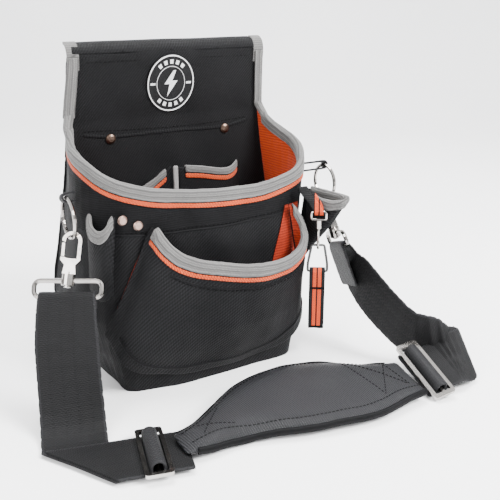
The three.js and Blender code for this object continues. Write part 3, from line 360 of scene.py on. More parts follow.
def body_flat(v):
    """Flat coordinates round the pouch: the distance round it and the height."""
    p = v.co
    angle = math.atan2(p.x / 0.1, -(p.y + 0.004) / 0.046)
    return (angle * 0.082, p.z)


def plane_flat(v):
    """Flat coordinates of a piece that faces forward."""
    return (v.co.x, v.co.z)


def floor_flat(v):
    """Flat coordinates of a level piece."""
    return (v.co.x, v.co.y)


def bend_cloth(bm, soft):
    """Creases a cloth. Soft scales the creases."""
    for v in bm.verts:
        v.co = settled(v.co, soft)


def piece(name, bm, like, material, smooth=50, keeps=False):
    """A new object from bm that rides with the CAD node like, and replaces it unless it keeps it."""
    mesh = bpy.data.meshes.new(name)
    bm.normal_update()
    bm.to_mesh(mesh)
    bm.free()
    obj = bpy.data.objects.new(name, mesh)
    bpy.context.scene.collection.objects.link(obj)
    mesh.materials.append(material)
    mesh.shade_smooth()
    mesh.set_sharp_from_angle(angle=math.radians(smooth))
    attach(obj, nodes[like]["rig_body"])
    if not keeps:
        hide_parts(like)
    return obj


def cloth(node, name, material, flat, cell=0.0032, soft=1.0, rounds=1):
    """A cloth copy of a CAD node."""
    bm = welded(node)
    refine(bm, cell)
    relax(bm, rounds, 0.35)
    paint_flat(bm, flat)
    bend_cloth(bm, soft)
    return piece(name, bm, node, material)


def distances(bm, start):
    """The distance of each vertex from the one nearest to start, along the edges."""
    bm.verts.ensure_lookup_table()
    source = min(bm.verts, key=lambda v: (v.co - start).length_squared)
    found = {source.index: 0.0}
    heap = [(0.0, source.index)]
    while heap:
        d, i = heapq.heappop(heap)
        if d > found[i]:
            continue
        for edge in bm.verts[i].link_edges:
            j = edge.other_vert(bm.verts[i]).index
            reach = d + edge.calc_length()
            if reach < found.get(j, 1e9):
                found[j] = reach
                heapq.heappush(heap, (reach, j))
    return found


class Rail:
    """The middle line of a long body, with the sideways directions at each of its points."""

    def __init__(self, bm, layer, away, step=0.0025):
        u = np.array([v[layer] for v in bm.verts])
        co = np.array([v.co for v in bm.verts])
        count = max(4, int(u.max() / step))
        slots = np.clip((u / u.max() * count).astype(int), 0, count - 1)
        have = [k for k in range(count) if (slots == k).any()]
        middle = np.array([(co[slots == k].max(0) + co[slots == k].min(0)) / 2 for k in have])
        for _ in range(4):
            middle[1:-1] = (middle[:-2] + 2 * middle[1:-1] + middle[2:]) / 4
        self.at = [Vector(p) for p in middle]
        self.u = [(k + 0.5) / count * u.max() for k in have]
        self.along = [(self.at[min(i + 1, len(have) - 1)] - self.at[max(i - 1, 0)]).normalized()
                      for i in range(len(have))]
        self.out = [(away(p) - away(p).dot(t) * t).normalized() for p, t in zip(self.at, self.along)]
        self.rise = [o.cross(t).normalized() for o, t in zip(self.out, self.along)]
        self.rise = [r if r.z >= 0 or abs(r.z) < 0.3 else -r for r in self.rise]

    def nearest(self, u):
        return min(range(len(self.u)), key=lambda k: abs(self.u[k] - u))


def long_cloth(node, name, material, start, away, cell=0.002, pucker=0.0, soft=1.0,
               radius=0.0026):
    """A binding or piping, and its rail: its flat coordinates run along it and round its section."""
    bm = welded(node)
    layer = bm.verts.layers.float.new("along")
    found = distances(bm, start)
    for v in bm.verts:
        v[layer] = found.get(v.index, 0.0)
    refine(bm, cell)
    rail = Rail(bm, layer, away)
    relax(bm, 2, 0.4)
    places = {}
    for v in bm.verts:
        k = rail.nearest(v[layer])
        offset = v.co - rail.at[k]
        places[v.index] = (v[layer], math.atan2(offset.dot(rail.out[k]), offset.dot(rail.rise[k])) * radius)
        if pucker:
            lift = noise.noise(Vector((v[layer] * 120, 0, 3)))
            lift += 0.6 * noise.noise(Vector((v[layer] * 260, 5, 0)))
            v.co += rail.rise[k] * lift * pucker + rail.out[k] * noise.noise(
                Vector((v[layer] * 150, 8, 1))) * pucker
    bm.verts.index_update()
    paint_flat(bm, lambda v: places[v.index])
    bend_cloth(bm, soft)
    piece(name, bm, node, material)
    return rail


def strap_cloth(node, name, material, start, far_side, width, rounds, cell=0.0035, warp=0.6):
    """Webbing: flat coordinates from the distances along its two long edges."""
    bm = welded(node)
    left, right = distances(bm, start), distances(bm, far_side)
    places = {i: ((left[i], 0.0) if left[i] < right[i] else (right[i], width)) for i in left}
    bm.verts.index_update()
    paint_flat(bm, lambda v: places[v.index])
    length = max(min(left[i], right[i]) for i in left)
    refine(bm, cell)
    relax(bm, rounds, 0.4)
    for v in bm.verts:
        v.co += noise.noise_vector(v.co * 24) * warp * MM
        v.co.z = max(v.co.z, GROUND_GAP)
    return piece(name, bm, node, material), length


# ---------------------------------------------------------------- stitches

def thread_piece(name, runs, like, material, radius=0.00034, long=0.0026, gap=0.0012):
    """Rows of stitches: each run is a list of (point, outward) pairs along a seam."""
    bm = bmesh.new()
    sides = 6
    for run in runs:
        points = [p for p, _ in run]
        lengths = [0.0]
        for a, b in zip(points, points[1:]):
            lengths.append(lengths[-1] + (b - a).length)

        def spot(s):
            k = max(0, min(len(points) - 2, int(np.searchsorted(lengths, s)) - 1))
            t = (s - lengths[k]) / max(1e-9, lengths[k + 1] - lengths[k])
            return points[k].lerp(points[k + 1], t), run[k][1]

        s = 0.0
        while s + long < lengths[-1]:
            rings = []
            for j, (t, sink) in enumerate(((0, 1.2), (0.14, 0.25), (0.5, 0.0), (0.86, 0.25), (1, 1.2))):
                p, out = spot(s + t * long)
                q, _ = spot(min(lengths[-1], s + t * long + 0.0003))
                ahead = (q - p).normalized() if (q - p).length > 1e-9 else Vector((1, 0, 0))
                side = ahead.cross(out).normalized()
                centre = p - out * sink * radius
                wide = radius * (0.75 if j in (0, 4) else 1.0)
                turns = (2 * math.pi * k / sides for k in range(sides))
                rings.append([bm.verts.new(centre + side * math.cos(a) * wide * 1.15
                                           + out * math.sin(a) * wide) for a in turns])
            for a, b in zip(rings, rings[1:]):
                for k in range(sides):
                    bm.faces.new((a[k], a[(k + 1) % sides], b[(k + 1) % sides], b[k]))
            bm.faces.new(rings[0][::-1])
            bm.faces.new(rings[-1])
            s += long + gap
    bmesh.ops.recalc_face_normals(bm, faces=bm.faces)
    return piece(name, bm, like, material, keeps=True)


def tree_of(obj):
    """A tree of the object's faces that rays can be cast at."""
    mesh = obj.data
    return BVHTree.FromPolygons([v.co.copy() for v in mesh.vertices],
                                [tuple(p.vertices) for p in mesh.polygons])


def on_cloth(tree, places, direction, lift=0.0002):
    """Where rays from these places meet the cloth, with the way out of it."""
    run = []
    for p in places:
        hit, normal, _, _ = tree.ray_cast(p, direction, 0.3)
        if hit is not None:
            if normal.dot(direction) > 0:
                normal = -normal
            run.append((hit + normal * lift, normal))
    return run


def between(points, step=0.003):
    """Points every step along straight lines through points."""
    out = []
    for a, b in zip(points, points[1:]):
        count = max(1, int((b - a).length / step))
        out += [a.lerp(b, k / count) for k in range(count)]
    return out + [points[-1]]


def mm(x, y, z):
    """A place given in millimetres."""
    return Vector((x, y, z)) * MM


def rail_run(rail, out, rise, skip=1, soft=1.0):
    """A seam at a fixed place beside a rail."""
    run = []
    for k in range(skip, len(rail.at) - skip):
        p = rail.at[k] + rail.out[k] * out * MM + rail.rise[k] * rise * MM
        run.append((settled(p, soft) if soft else p, rail.out[k]))
    return run


# ---------------------------------------------------------------- the bag

shell = cloth("main_shell", "shell_cloth", black_cloth, body_flat, cell=0.0030)


def hem(obj, line):
    """Gives the cloth above line(x) the plainer hem cloth."""
    obj.data.materials.append(hem_cloth)
    for polygon in obj.data.polygons:
        if polygon.center.y < 0.02 and polygon.center.z > line(polygon.center.x):
            polygon.material_index = 1


hem(shell, lambda x: 0.147 + 0.35 * x * x)
cloth("main_lining", "lining_cloth", orange_cloth, body_flat, cell=0.0036)
cloth("main_floor", "floor_cloth", black_cloth, floor_flat, cell=0.006, soft=0.001)
panel = cloth("back_panel", "panel_cloth", black_cloth, plane_flat, cell=0.0034, soft=0.5)
cloth("belt_tunnel_flap", "flap_cloth", black_cloth, plane_flat, cell=0.0034, soft=0.5)
pocket = cloth("front_pocket", "front_pocket_cloth", black_cloth, body_flat, cell=0.0026)
cloth("front_pocket_lining", "front_pocket_lining_cloth", deep_orange, body_flat,
      cell=0.0032)
for side in ("left", "right"):
    cloth(f"corner_pocket_{side}", f"corner_pocket_{side}_cloth", black_cloth, body_flat,
          cell=0.0024)
    cloth(f"inner_pocket_{side}", f"inner_pocket_{side}_cloth", black_cloth, plane_flat,
          cell=0.003, soft=0.5)


def forward(_):
    """The way out of a piece that faces forward."""
    return Vector((0, -1, 0))


def from_pocket(p):
    """The way out of the front pocket at p."""
    return Vector((0.25 * (p.x - 0.015) / 0.08, -1, 0)).normalized()


def from_corner(centre):
    """The way out of a corner pocket round this centre."""
    return lambda p: Vector((p.x - centre[0], p.y - centre[1], 0)).normalized()


rim_rail = long_cloth("main_rim_binding", "rim_tape", grey_tape,
                      mm(-111, 39, 232), outward, 0.0019, pucker=0.00022)
long_cloth("main_rim_trim", "rim_piping", orange_piping,
           mm(-111, 39, 218), outward, 0.0019)
front_rail = long_cloth("front_pocket_binding", "front_pocket_tape", grey_tape,
                        mm(-62, -54, 157), from_pocket, 0.0018, pucker=0.0004)
long_cloth("front_pocket_trim", "front_pocket_piping", orange_piping,
           mm(-62, -54, 150), from_pocket, 0.0018)
corner_rails = {}
for side, centre, start in (("left", (-0.100, -0.030), mm(-108, -27, 169)),
                            ("right", (0.112, -0.035), mm(104, -40, 160))):
    corner_rails[side] = long_cloth(f"corner_pocket_binding_{side}", f"corner_pocket_{side}_tape",
                                    grey_tape, start, from_corner(centre), 0.0018,
                                    pucker=0.0004)
for side, start in (("left", mm(-74, 20, 185)), ("right", mm(-3, 15, 185))):
    long_cloth(f"inner_binding_{side}", f"inner_{side}_tape", grey_tape, start, forward,
               0.002, pucker=0.0003, soft=0.5)
    long_cloth(f"inner_trim_{side}", f"inner_{side}_piping", orange_piping, start, forward,
               0.002, soft=0.5)
long_cloth("inner_divider_strip", "divider_tape", pale_tape, mm(-7, 17, 189), forward,
           0.002, soft=0.5)
panel_rails = {}
for side, start in (("left", mm(-94, 40, 290)), ("right", mm(94, 40, 290))):
    panel_rails[side] = long_cloth(f"panel_binding_{side}", f"panel_{side}_tape", grey_tape,
                                   start, forward, 0.0022, pucker=0.0002, soft=0.5)

# ---------------------------------------------------------------- the strap

web_left, left_length = strap_cloth("webbing_left", "strap_left", webbing_cloth,
                                    mm(-71, -183, 1), mm(-71, -128, 1), WEB_WIDTH, rounds=1)
web_right, right_length = strap_cloth("webbing_right", "strap_right", webbing_cloth,
                                      mm(145, -187, 3), mm(145, -138, 22), WEB_WIDTH, rounds=4)


def along_flat(direction, across):
    """Flat coordinates of webbing that runs in a direction, measured from one of its edges."""
    return lambda v: (v.co.dot(direction), v.co.dot(across) + WEB_WIDTH / 2)


for side, along in (("left", Vector((0.9754, -0.2196, 0))),
                    ("right", Vector((0.985, -0.06, 0.16)).normalized())):
    across = UP.cross(along).normalized()
    cloth(f"slider_roll_{side}", f"slider_roll_{side}_cloth", webbing_cloth,
          along_flat(across, along), cell=0.002, soft=0.0, rounds=2)
    cloth(f"ring_tab_{side}", f"ring_tab_{side}_cloth", webbing_cloth,
          lambda v: (v.co.z, v.co.x + v.co.y), cell=0.0018, soft=0.0)

tape_out = Vector((-0.53, -0.85, 0)).normalized()
tape_across = Vector((0.85, -0.53, 0)).normalized()
tape_middle = mm(103, -62, 0)


def tape_flat(v):
    """Flat coordinates down and across the tape strap."""
    return (v.co.z, (v.co - tape_middle).dot(tape_across) + TAPE_WIDTH / 2)


tape = cloth("tape_loop", "tape_loop_cloth", tape_cloth, tape_flat, cell=0.002, soft=0.0)
cloth("tape_tab", "tape_tab_cloth", tape_cloth, tape_flat, cell=0.002, soft=0.0)


def puff(bm, pressure, frames, cap):
    """Swells a closed mesh under pressure and keeps every vertex within cap of where it began."""
    mesh = bpy.data.meshes.new("puff")
    bm.to_mesh(mesh)
    obj = bpy.data.objects.new("puff", mesh)
    bpy.context.scene.collection.objects.link(obj)
    soft = obj.modifiers.new("puff", "CLOTH")
    soft.settings.use_pressure = True
    soft.settings.uniform_pressure_force = pressure
    soft.settings.effector_weights.gravity = 0.0
    soft.settings.quality = 6
    soft.settings.tension_stiffness = 24
    soft.settings.bending_stiffness = 0.9
    soft.point_cache.frame_end = frames
    for number in range(1, frames + 1):
        bpy.context.scene.frame_set(number)
        seen = obj.evaluated_get(bpy.context.evaluated_depsgraph_get())
        swollen = [v.co.copy() for v in seen.data.vertices]
    bpy.context.scene.frame_set(1)
    bm.verts.ensure_lookup_table()
    for v, puffed in zip(bm.verts, swollen):
        move = puffed - v.co
        if move.length > cap:
            move *= cap / move.length
        v.co += move
        v.co.z = max(v.co.z, 0.0006)
    bpy.data.objects.remove(obj)
    return bm


pad_along = Vector((0.967, 0.254, 0)).normalized()
pad_across = UP.cross(pad_along)
pad_bm = welded("shoulder_pad")
refine(pad_bm, 0.0055)
relax(pad_bm, 2, 0.5)
pad_bm = puff(pad_bm, pressure=4.0, frames=20, cap=0.0045)
relax(pad_bm, 3, 0.5)
refine(pad_bm, 0.0028)
relax(pad_bm, 2, 0.5)
paint_flat(pad_bm, lambda v: (v.co.dot(pad_across), v.co.dot(pad_along)))
for v in pad_bm.verts:
    v.co += noise.noise_vector(v.co * 30) * 0.7 * MM
    v.co.z = max(v.co.z, GROUND_GAP)
pad_box = [(v.co.dot(pad_along), v.co.dot(pad_across), v.co.z) for v in pad_bm.verts]
pad = piece("shoulder_pad_cloth", pad_bm, "shoulder_pad", pad_cloth)


def swept(name, points, outs, half_out, half_rise, like, material, swell=0.0):
    """A round-edged band along points. Its section is half_out deep and half_rise tall, in millimetres."""
    bm = bmesh.new()
    flat = bm.loops.layers.uv.new("flat")
    sides, run, rings, marks = 16, 0.0, [], []
    for k, (p, out) in enumerate(zip(points, outs)):
        ahead = (points[min(k + 1, len(points) - 1)] - points[max(k - 1, 0)]).normalized()
        out = (out - out.dot(ahead) * ahead).normalized()
        rise = ahead.cross(out).normalized()
        run += (p - points[k - 1]).length if k else 0.0
        grow = 1 + swell * noise.noise(Vector((run * 130, 2, 7)))
        ring = []
        for j in range(sides):
            a = 2 * math.pi * j / sides
            c, d = math.cos(a), math.sin(a)
            c, d = math.copysign(abs(c) ** 0.7, c), math.copysign(abs(d) ** 0.7, d)
            ring.append(bm.verts.new(p + out * c * half_out * MM * grow + rise * d * half_rise * MM * grow))
        rings.append(ring)
        marks.append(run)
    reach = (half_out + half_rise) * 1.6 * MM / sides
    for k in range(len(rings) - 1):
        for j in range(sides):
            n = (j + 1) % sides
            face = bm.faces.new((rings[k][j], rings[k][n], rings[k + 1][n], rings[k + 1][j]))
            for loop, u, v in zip(face.loops, (marks[k], marks[k], marks[k + 1], marks[k + 1]),
                                  (j, j + 1, j + 1, j)):
                loop[flat].uv = (u, v * reach)
    for ring in (rings[0][::-1], rings[-1]):
        bm.faces.new(ring)
    bmesh.ops.recalc_face_normals(bm, faces=bm.faces)
    return piece(name, bm, like, material, keeps=True)


def smooth_line(points, times=3, rounds=2):
    """Points along a curve through the given corners."""
    for _ in range(times):
        finer = [points[0]]
        for a, b in zip(points, points[1:]):
            finer += [a.lerp(b, 0.5), b]
        points = finer
        for _ in range(rounds):
            inner = [(a + b * 2 + c) / 4 for a, b, c in zip(points, points[1:], points[2:])]
            points = [points[0]] + inner + [points[-1]]
    return points


def pad_edge(side, inset, step=0.004):
    """The line inset from the pad's far edge (side 1) or near edge (side -1)."""
    lows = min(u for u, _, _ in pad_box)
    count = int((max(u for u, _, _ in pad_box) - lows) / step)
    line = []
    for k in range(2, count - 1):
        here = [(v, z) for u, v, z in pad_box if abs(u - lows - k * step) < step * 0.7]
        if here:
            v, z = max(here, key=lambda q: q[0] * side)
            line.append(pad_along * (lows + k * step) + pad_across * (v - side * inset) + UP * z)
    for _ in range(4):
        line = [line[0]] + [(a + b * 2 + c) / 4 for a, b, c in zip(line, line[1:], line[2:])] + [line[-1]]
    return line


for label, side in (("far", 1), ("near", -1)):
    line = pad_edge(side, 0.0006)
    swept(f"pad_edge_{label}", line, [pad_across * side] * len(line), 1.7, 3.2 if side < 0 else 2.2,
          "shoulder_pad", hem_cloth, 0.12)

# ---------------------------------------------------------------- the badge

def plane_of(node, facing):
    """The middle of a thin node's face that looks along facing, with its wide, tall and out directions."""
    co = np.array([v.co for v in nodes[node].data.vertices])
    middle = (co.max(0) + co.min(0)) / 2
    _, _, axes = np.linalg.svd(co - co.mean(0), full_matrices=False)
    out = Vector(axes[2])
    out = out if out.dot(facing) > 0 else -out
    wide = Vector((1, 0, 0))
    tall = out.cross(wide).normalized()
    tall = tall if tall.z > 0 else -tall
    reach = max((Vector(p) - Vector(middle)).dot(out) for p in co)
    half_wide = max(abs((Vector(p) - Vector(middle)).dot(wide)) for p in co)
    half_tall = max(abs((Vector(p) - Vector(middle)).dot(tall)) for p in co)
    return Vector(middle) + out * reach, wide, tall, out, half_wide, half_tall


badge_at, wide, tall, badge_out, half_wide, half_tall = plane_of("oval_patch", Vector((0, -1, 0)))
bm = welded("oval_patch")
refine(bm, 0.003)
paint_flat(bm, plane_flat)
piece("badge_field", bm, "oval_patch", patch_face, smooth=40)


def raised(bm, outline, height, hole=None):
    """A low block on the badge with this outline, given as (across, up) pairs in metres."""
    def ring(points, lift):
        return [bm.verts.new(badge_at + wide * x + tall * y + badge_out * lift) for x, y in points]
    low, high = ring(outline, -0.0002), ring(outline, height)
    n = len(outline)
    for k in range(n):
        bm.faces.new((low[k], low[(k + 1) % n], high[(k + 1) % n], high[k]))
    if hole is None:
        bm.faces.new(high)
        bm.faces.new(low[::-1])
        return
    low_in, high_in = ring(hole, -0.0002), ring(hole, height)
    for k in range(n):
        j = (k + 1) % n
        bm.faces.new((high[k], high[j], high_in[j], high_in[k]))
        bm.faces.new((high_in[k], high_in[j], low_in[j], low_in[k]))
        bm.faces.new((low_in[k], low_in[j], low[j], low[k]))


def oval(share, count=96):
    """The badge's outline, made smaller by share."""
    return [(half_wide * share * math.cos(a), half_tall * share * math.sin(a))
            for a in (2 * math.pi * k / count for k in range(count))]


bm = bmesh.new()
raised(bm, oval(0.985), 0.0006, hole=oval(0.945))
raised(bm, oval(0.60), 0.0004, hole=oval(0.585))
for sign in (1, -1):
    for k in range(-2, 3):
        a = math.pi / 2 * sign + k * 0.33
        b0, b1 = a - 0.085, a + 0.085
        raised(bm, [(half_wide * r * math.cos(t), half_tall * r * math.sin(t))
                    for r, t in ((0.69, b0), (0.83, b0), (0.83, b1), (0.69, b1))][::sign], 0.0005)
    raised(bm, [(sign * half_wide * x, half_tall * y) for x, y in
                ((0.66, -0.035), (0.86, -0.035), (0.86, 0.035), (0.66, 0.035))], 0.0005)
bolt = [(0.10, 0.50), (-0.30, -0.02), (-0.06, -0.02), (-0.16, -0.50), (0.30, 0.10), (0.05, 0.10),
        (0.22, 0.50)]
raised(bm, [(half_wide * x * 0.9, half_tall * y * 0.9) for x, y in bolt], 0.0006)
bmesh.ops.recalc_face_normals(bm, faces=bm.faces)
piece("badge_print", bm, "oval_patch", white_print, smooth=30, keeps=True)

for label, level, half_rise, reach in (("tack", 74, 1.1, 3.9), ("tip", 34.5, 3.2, 2.6)):
    line = between([tape_middle + tape_across * x * MM + tape_out * reach * MM + UP * level * MM
                    for x in (-7.4, 7.4)], 0.001)
    swept(f"tape_{label}", line, [tape_out] * len(line), 0.9, half_rise, "tape_loop", black_thread,
          0.2)

# ---------------------------------------------------------------- joining tapes and the rolled top

rim_rail.at = [settled(p) for p in rim_rail.at]
for side, hand in (("left", -1), ("right", 1)):
    panel_rail = panel_rails[side]
    low = min(panel_rail.at, key=lambda p: p.z)
    near = min((rim_rail.at[0], rim_rail.at[-1]), key=lambda p: (p - low).length)
    order = rim_rail.at if near is rim_rail.at[0] else rim_rail.at[::-1]
    line = smooth_line([low + UP * 0.010, low + UP * 0.003, low.lerp(near, 0.5) + UP * 0.001,
                        order[1], order[4]])
    swept(f"kink_tape_{side}", line, [Vector((hand * 0.5, -1, 0)).normalized()] * len(line), 3.0, 4.2,
          "back_panel", grey_tape, 0.08)

face_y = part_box("back_panel")[0].y
roll = smooth_line([Vector((0, y, z)) * MM for y, z in
                    ((face_y / MM + 2.4, 279), (face_y / MM - 0.1, 288), (face_y / MM + 0.3, 296),
                     (40, 302.2), (50, 303.0), (58, 300.5), (62.5, 293))], 3, 2)


def rolled(name, x0, x1, lift, thick, material, slot, columns=60, share=1.0):
    """Cloth rolled over the top of the panel from x0 to x1."""
    line = roll[:max(4, int(len(roll) * share))]
    bm = bmesh.new()
    flat = bm.loops.layers.uv.new("flat")
    grid = []
    for side in (0, 1):
        for i in range(columns + 1):
            x = x0 + (x1 - x0) * i / columns
            row = []
            for k, p in enumerate(line):
                ahead = line[min(k + 1, len(line) - 1)] - line[max(k - 1, 0)]
                normal = Vector((0, -ahead.z, ahead.y)).normalized()
                wave = noise.noise(Vector((x * 24, p.y * 30, p.z * 30))) * 0.5 * MM
                q = Vector((x, p.y, p.z)) + normal * (lift + wave - side * thick)
                row.append(bm.verts.new(q))
            grid.append(row)
    half = columns + 1

    def quad(a, b, c, d, uvs):
        face = bm.faces.new((a, b, c, d))
        for loop, uv in zip(face.loops, uvs):
            loop[flat].uv = uv
    for side in (0, 1):
        for i in range(columns):
            for k in range(len(line) - 1):
                xs = [x0 + (x1 - x0) * j / columns for j in (i, i + 1)]
                zs = [0.28 + 0.0012 * j for j in (k, k + 1)]
                a, b = grid[side * half + i], grid[side * half + i + 1]
                quad(a[k], b[k], b[k + 1], a[k + 1],
                     ((xs[0], zs[0]), (xs[1], zs[0]), (xs[1], zs[1]), (xs[0], zs[1])))
    for k in range(len(line) - 1):
        for i in (0, columns):
            a, b = grid[i], grid[half + i]
            quad(a[k], a[k + 1], b[k + 1], b[k], ((0, 0),) * 4)
    for i in range(columns):
        for k in (0, len(line) - 1):
            quad(grid[i][k], grid[i + 1][k], grid[half + i + 1][k], grid[half + i][k], ((0, 0),) * 4)
    bmesh.ops.recalc_face_normals(bm, faces=bm.faces)
    return piece(name, bm, "back_panel", material, keeps=True)


ROLL_HALF = 0.0855                      # half the width of the black roll
TAPE_OUT, TAPE_IN = 0.003, 0.0075       # how far each end tape goes past the panel's edge, and onto it
rolled("top_roll", -ROLL_HALF, ROLL_HALF, 0.0, 0.0016, black_cloth, "nylon")
for side, hand in (("left", -1), ("right", 1)):
    edge = max(panel_rails[side].at, key=lambda p: p.z).x
    ends = sorted((edge + hand * TAPE_OUT, edge - hand * TAPE_IN))
    rolled(f"top_tape_{side}", *ends, 0.0008, 0.0022, grey_tape, "grey_binding", columns=10, share=0.62)

# The orange cloth laid on the shell behind the right end of the front pocket.
GUSSET_ROWS, GUSSET_COLUMNS = 19, 10
GUSSET_FOOT, GUSSET_RIGHT = 0.066, 0.0925
gusset = bmesh.new()
flat = gusset.loops.layers.uv.new("flat")
shell_tree = tree_of(shell)
sheet_rows = []
for k in range(GUSSET_ROWS):
    z = GUSSET_FOOT + 0.005 * k
    left = 0.056 + 0.018 * max(0.0, (z - 0.09) / 0.066)
    row = []
    for j in range(GUSSET_COLUMNS + 1):
        x = left + (GUSSET_RIGHT - left) * j / GUSSET_COLUMNS
        hit, _, _, _ = shell_tree.ray_cast(Vector((x, -0.2, z)), BACK, 0.3)
        if hit is None:
            hit = row[-1].co
        row.append(gusset.verts.new(hit + Vector((0.25, -1, 0)).normalized() * 0.0011))
    sheet_rows.append(row)
for a, b in zip(sheet_rows, sheet_rows[1:]):
    for j in range(GUSSET_COLUMNS):
        face = gusset.faces.new((a[j], a[j + 1], b[j + 1], b[j]))
        for loop in face.loops:
            loop[flat].uv = (loop.vert.co.x - loop.vert.co.y, loop.vert.co.z)
piece("pocket_gusset", gusset, "main_shell", deep_orange, keeps=True)

# ---------------------------------------------------------------- seams

shell_tree, pocket_tree, panel_tree = tree_of(shell), tree_of(pocket), tree_of(panel)


def seam(name, tree, like, material, slot, half_rise, *points):
    """A sewn seam: a low rounded welt laid on the cloth along (across, up) points in millimetres."""
    corners = smooth_line([mm(x, -200, z) for x, z in points], 3, 2)
    run = on_cloth(tree, between(corners, 0.003), BACK, 0.0001)
    swept(name, [p for p, _ in run], [n for _, n in run], 0.7, half_rise, like, material, 0.25)
    return run


def front_run(tree, *points):
    """A row of stitches on the cloth's front along (across, up) points in millimetres."""
    return on_cloth(tree, between([mm(x, -200, z) for x, z in points]), BACK)


thread_piece("rim_stitches", [rail_run(rim_rail, 2.9, -3.4, soft=0)], "main_rim_binding", grey_thread,
             0.00032, 0.0024, 0.0010)
thread_piece("front_rim_stitches", [rail_run(front_rail, 2.5, -2.6)], "front_pocket_binding", grey_thread,
             0.00030, 0.0022, 0.0010)
for side, rail in corner_rails.items():
    thread_piece(f"corner_{side}_stitches", [rail_run(rail, 2.0, -2.4)], f"corner_pocket_binding_{side}",
                 black_thread, 0.0003, 0.0022, 0.0010)
for side, rail in panel_rails.items():
    thread_piece(f"panel_{side}_stitches", [rail_run(rail, 3.4, 0, soft=0.5)], f"panel_binding_{side}",
                 black_thread, 0.0003, 0.0024, 0.0010)
thread_piece("hem_stitches", [front_run(shell_tree, (-88, 150), (-40, 147), (20, 146), (80, 150)),
                              front_run(shell_tree, (-88, 152.5), (-40, 149.5), (20, 148.5), (80, 152.5))],
             "main_shell", black_thread, 0.00045, 0.003, 0.001)
base_run = seam("base_seam", pocket_tree, "front_pocket", hem_cloth, "nylon", 1.3,
                (-93, 58), (-88, 44), (-78, 33), (-58, 24), (-30, 19), (10, 17), (45, 19), (76, 29),
                (90, 46), (94, 58))
hem_run = seam("pocket_hem", pocket_tree, "front_pocket", hem_cloth, "nylon", 0.8,
               (-52, 118), (-38, 108), (-18, 101), (5, 96), (30, 92.5), (60, 94), (78, 99), (88, 108))
thread_piece("pocket_stitches", [[(p + UP * 0.0024, n) for p, n in base_run],
                                 [(p - UP * 0.0018, n) for p, n in hem_run]],
             "front_pocket", black_thread, 0.00045, 0.003, 0.001)
seam("panel_fold", panel_tree, "back_panel", black_cloth, "nylon", 1.6,
     (-84, 220), (-59, 214.5), (-20, 217.5), (20, 217), (59, 214.5), (84, 221))
seam("front_hem", shell_tree, "main_shell", hem_cloth, "nylon", 1.0,
     (-90, 151), (-60, 148), (-20, 146.5), (20, 146.5), (60, 148), (90, 151))
fold_runs = [front_run(panel_tree, (-84, 223), (-30, 221), (30, 220.5), (84, 224)),
             front_run(panel_tree, (-80, 285), (0, 285.5), (80, 285))]
thread_piece("panel_stitches", fold_runs, "back_panel", black_thread, 0.0004, 0.003, 0.001)

pad_tree = tree_of(pad)


def pad_run(points):
    """A row of stitches on top of the pad, below or above these points."""
    return on_cloth(pad_tree, [p + UP * 0.1 for p in points], -UP)


pad_seams = [pad_run(pad_edge(1, 0.0065)), pad_run(pad_edge(-1, 0.0085))]
far, near = pad_edge(1, 0.009), pad_edge(-1, 0.011)
for share in (0.80, 0.955):
    k, n = int(len(far) * share), int(len(near) * share)
    pad_seams.append(pad_run(between([far[k], near[n]])))
for a, b in (((far, 0.80), (near, 0.955)), ((near, 0.80), (far, 0.955)), ((far, 0.06), (near, 0.2)),
             ((near, 0.06), (far, 0.2))):
    pad_seams.append(pad_run(between([a[0][int(len(a[0]) * a[1])], b[0][int(len(b[0]) * b[1])]])))
thread_piece("pad_stitches", pad_seams, "shoulder_pad", black_thread, 0.00042, 0.0026, 0.001)

# ---------------------------------------------------------------- metal

finishes = {"tape_ring": dark_wire, "panel_rivet_left": copper, "panel_rivet_right": copper,
            "pocket_rivet_outer": pale_copper, "pocket_rivet_inner": pale_copper}
for node, kept in nodes.items():
    if kept.hide_render:
        continue
    kept.data.materials.clear()
    kept.data.materials.append(finishes.get(node, nickel))

# ---------------------------------------------------------------- stage, light and camera

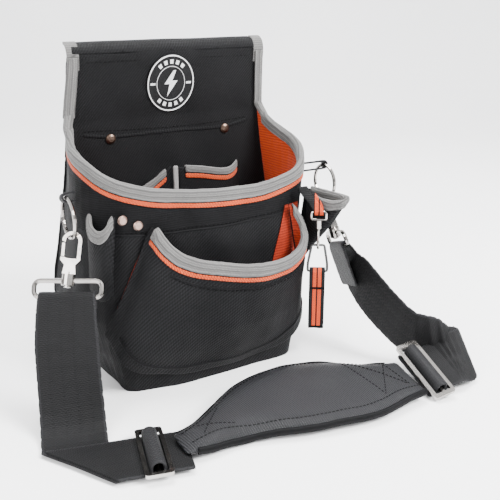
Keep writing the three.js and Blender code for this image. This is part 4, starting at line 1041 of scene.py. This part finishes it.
bm = bmesh.new()
profile = [(-3.0, 0), (1.2, 0)] + [(1.2 + 0.8 * math.sin(a), 0.8 - 0.8 * math.cos(a))
                                    for a in (math.pi / 2 * k / 12 for k in range(1, 13))] + [(2.0, 3.0)]
rows = [[bm.verts.new(Vector((x, y, z))) for x in (-4, 4)] for y, z in profile]
for a, b in zip(rows, rows[1:]):
    bm.faces.new((a[0], a[1], b[1], b[0]))
sweep_mesh = bpy.data.meshes.new("backdrop")
bm.to_mesh(sweep_mesh)
bm.free()
backdrop = bpy.data.objects.new("backdrop", sweep_mesh)
bpy.context.scene.collection.objects.link(backdrop)
backdrop.rotation_euler = (0, 0, math.radians(-28.5))
sweep_mesh.shade_smooth()
paper, paper_tree, paper_shader = surface("paper", 0.9)
paper_tone = mixed(paper_tree, speck(paper_tree, 3.0, 0.3, 0.7), rgb(0.94, 0.94, 0.95),
                   rgb(0.97, 0.97, 0.97))
paper_tree.links.new(paper_tone, paper_shader.inputs["Base Color"])
sweep_mesh.materials.append(paper)

world = bpy.data.worlds.new("studio")
world.use_nodes = True
sky = world.node_tree
sky.nodes["Background"].inputs[0].default_value = rgb(0.98, 0.985, 1.0)
toward = add(sky, "ShaderNodeTexCoord").outputs["Generated"]
height = add(sky, "ShaderNodeSeparateXYZ", {0: toward}).outputs[2]
glow = add(sky, "ShaderNodeMapRange", {"Value": height, "From Min": 0.02, "From Max": 0.6, "To Min": 0.22,
                                       "To Max": 1.75}).outputs[0]
sky.links.new(glow, sky.nodes["Background"].inputs[1])
bpy.context.scene.world = world


def lamp(name, place, size, power):
    """A white square lamp that faces the pouch."""
    light = bpy.data.lights.new(name, "AREA")
    light.shape, light.size, light.energy = "SQUARE", size, power
    obj = bpy.data.objects.new(name, light)
    obj.location = place
    obj.rotation_euler = (Vector((0, -0.03, 0.12)) - Vector(place)).to_track_quat("-Z", "Y").to_euler()
    bpy.context.scene.collection.objects.link(obj)


lamp("key", (0.75, -1.15, 1.25), size=0.7, power=95)
lamp("fill", (-1.5, -0.9, 0.9), size=1.1, power=40)
lamp("top", (0.1, 0.3, 1.6), size=0.9, power=55)

lens = bpy.data.cameras.new("camera")
lens.lens, lens.sensor_width, lens.clip_start = 54.55, 36.0, 0.01
camera = bpy.data.objects.new("camera", lens)
camera.location = (-0.278, -0.6285, 0.350)
camera.rotation_euler = (math.radians(70.66), 0, math.radians(-28.5))
bpy.context.scene.collection.objects.link(camera)
bpy.context.scene.camera = camera
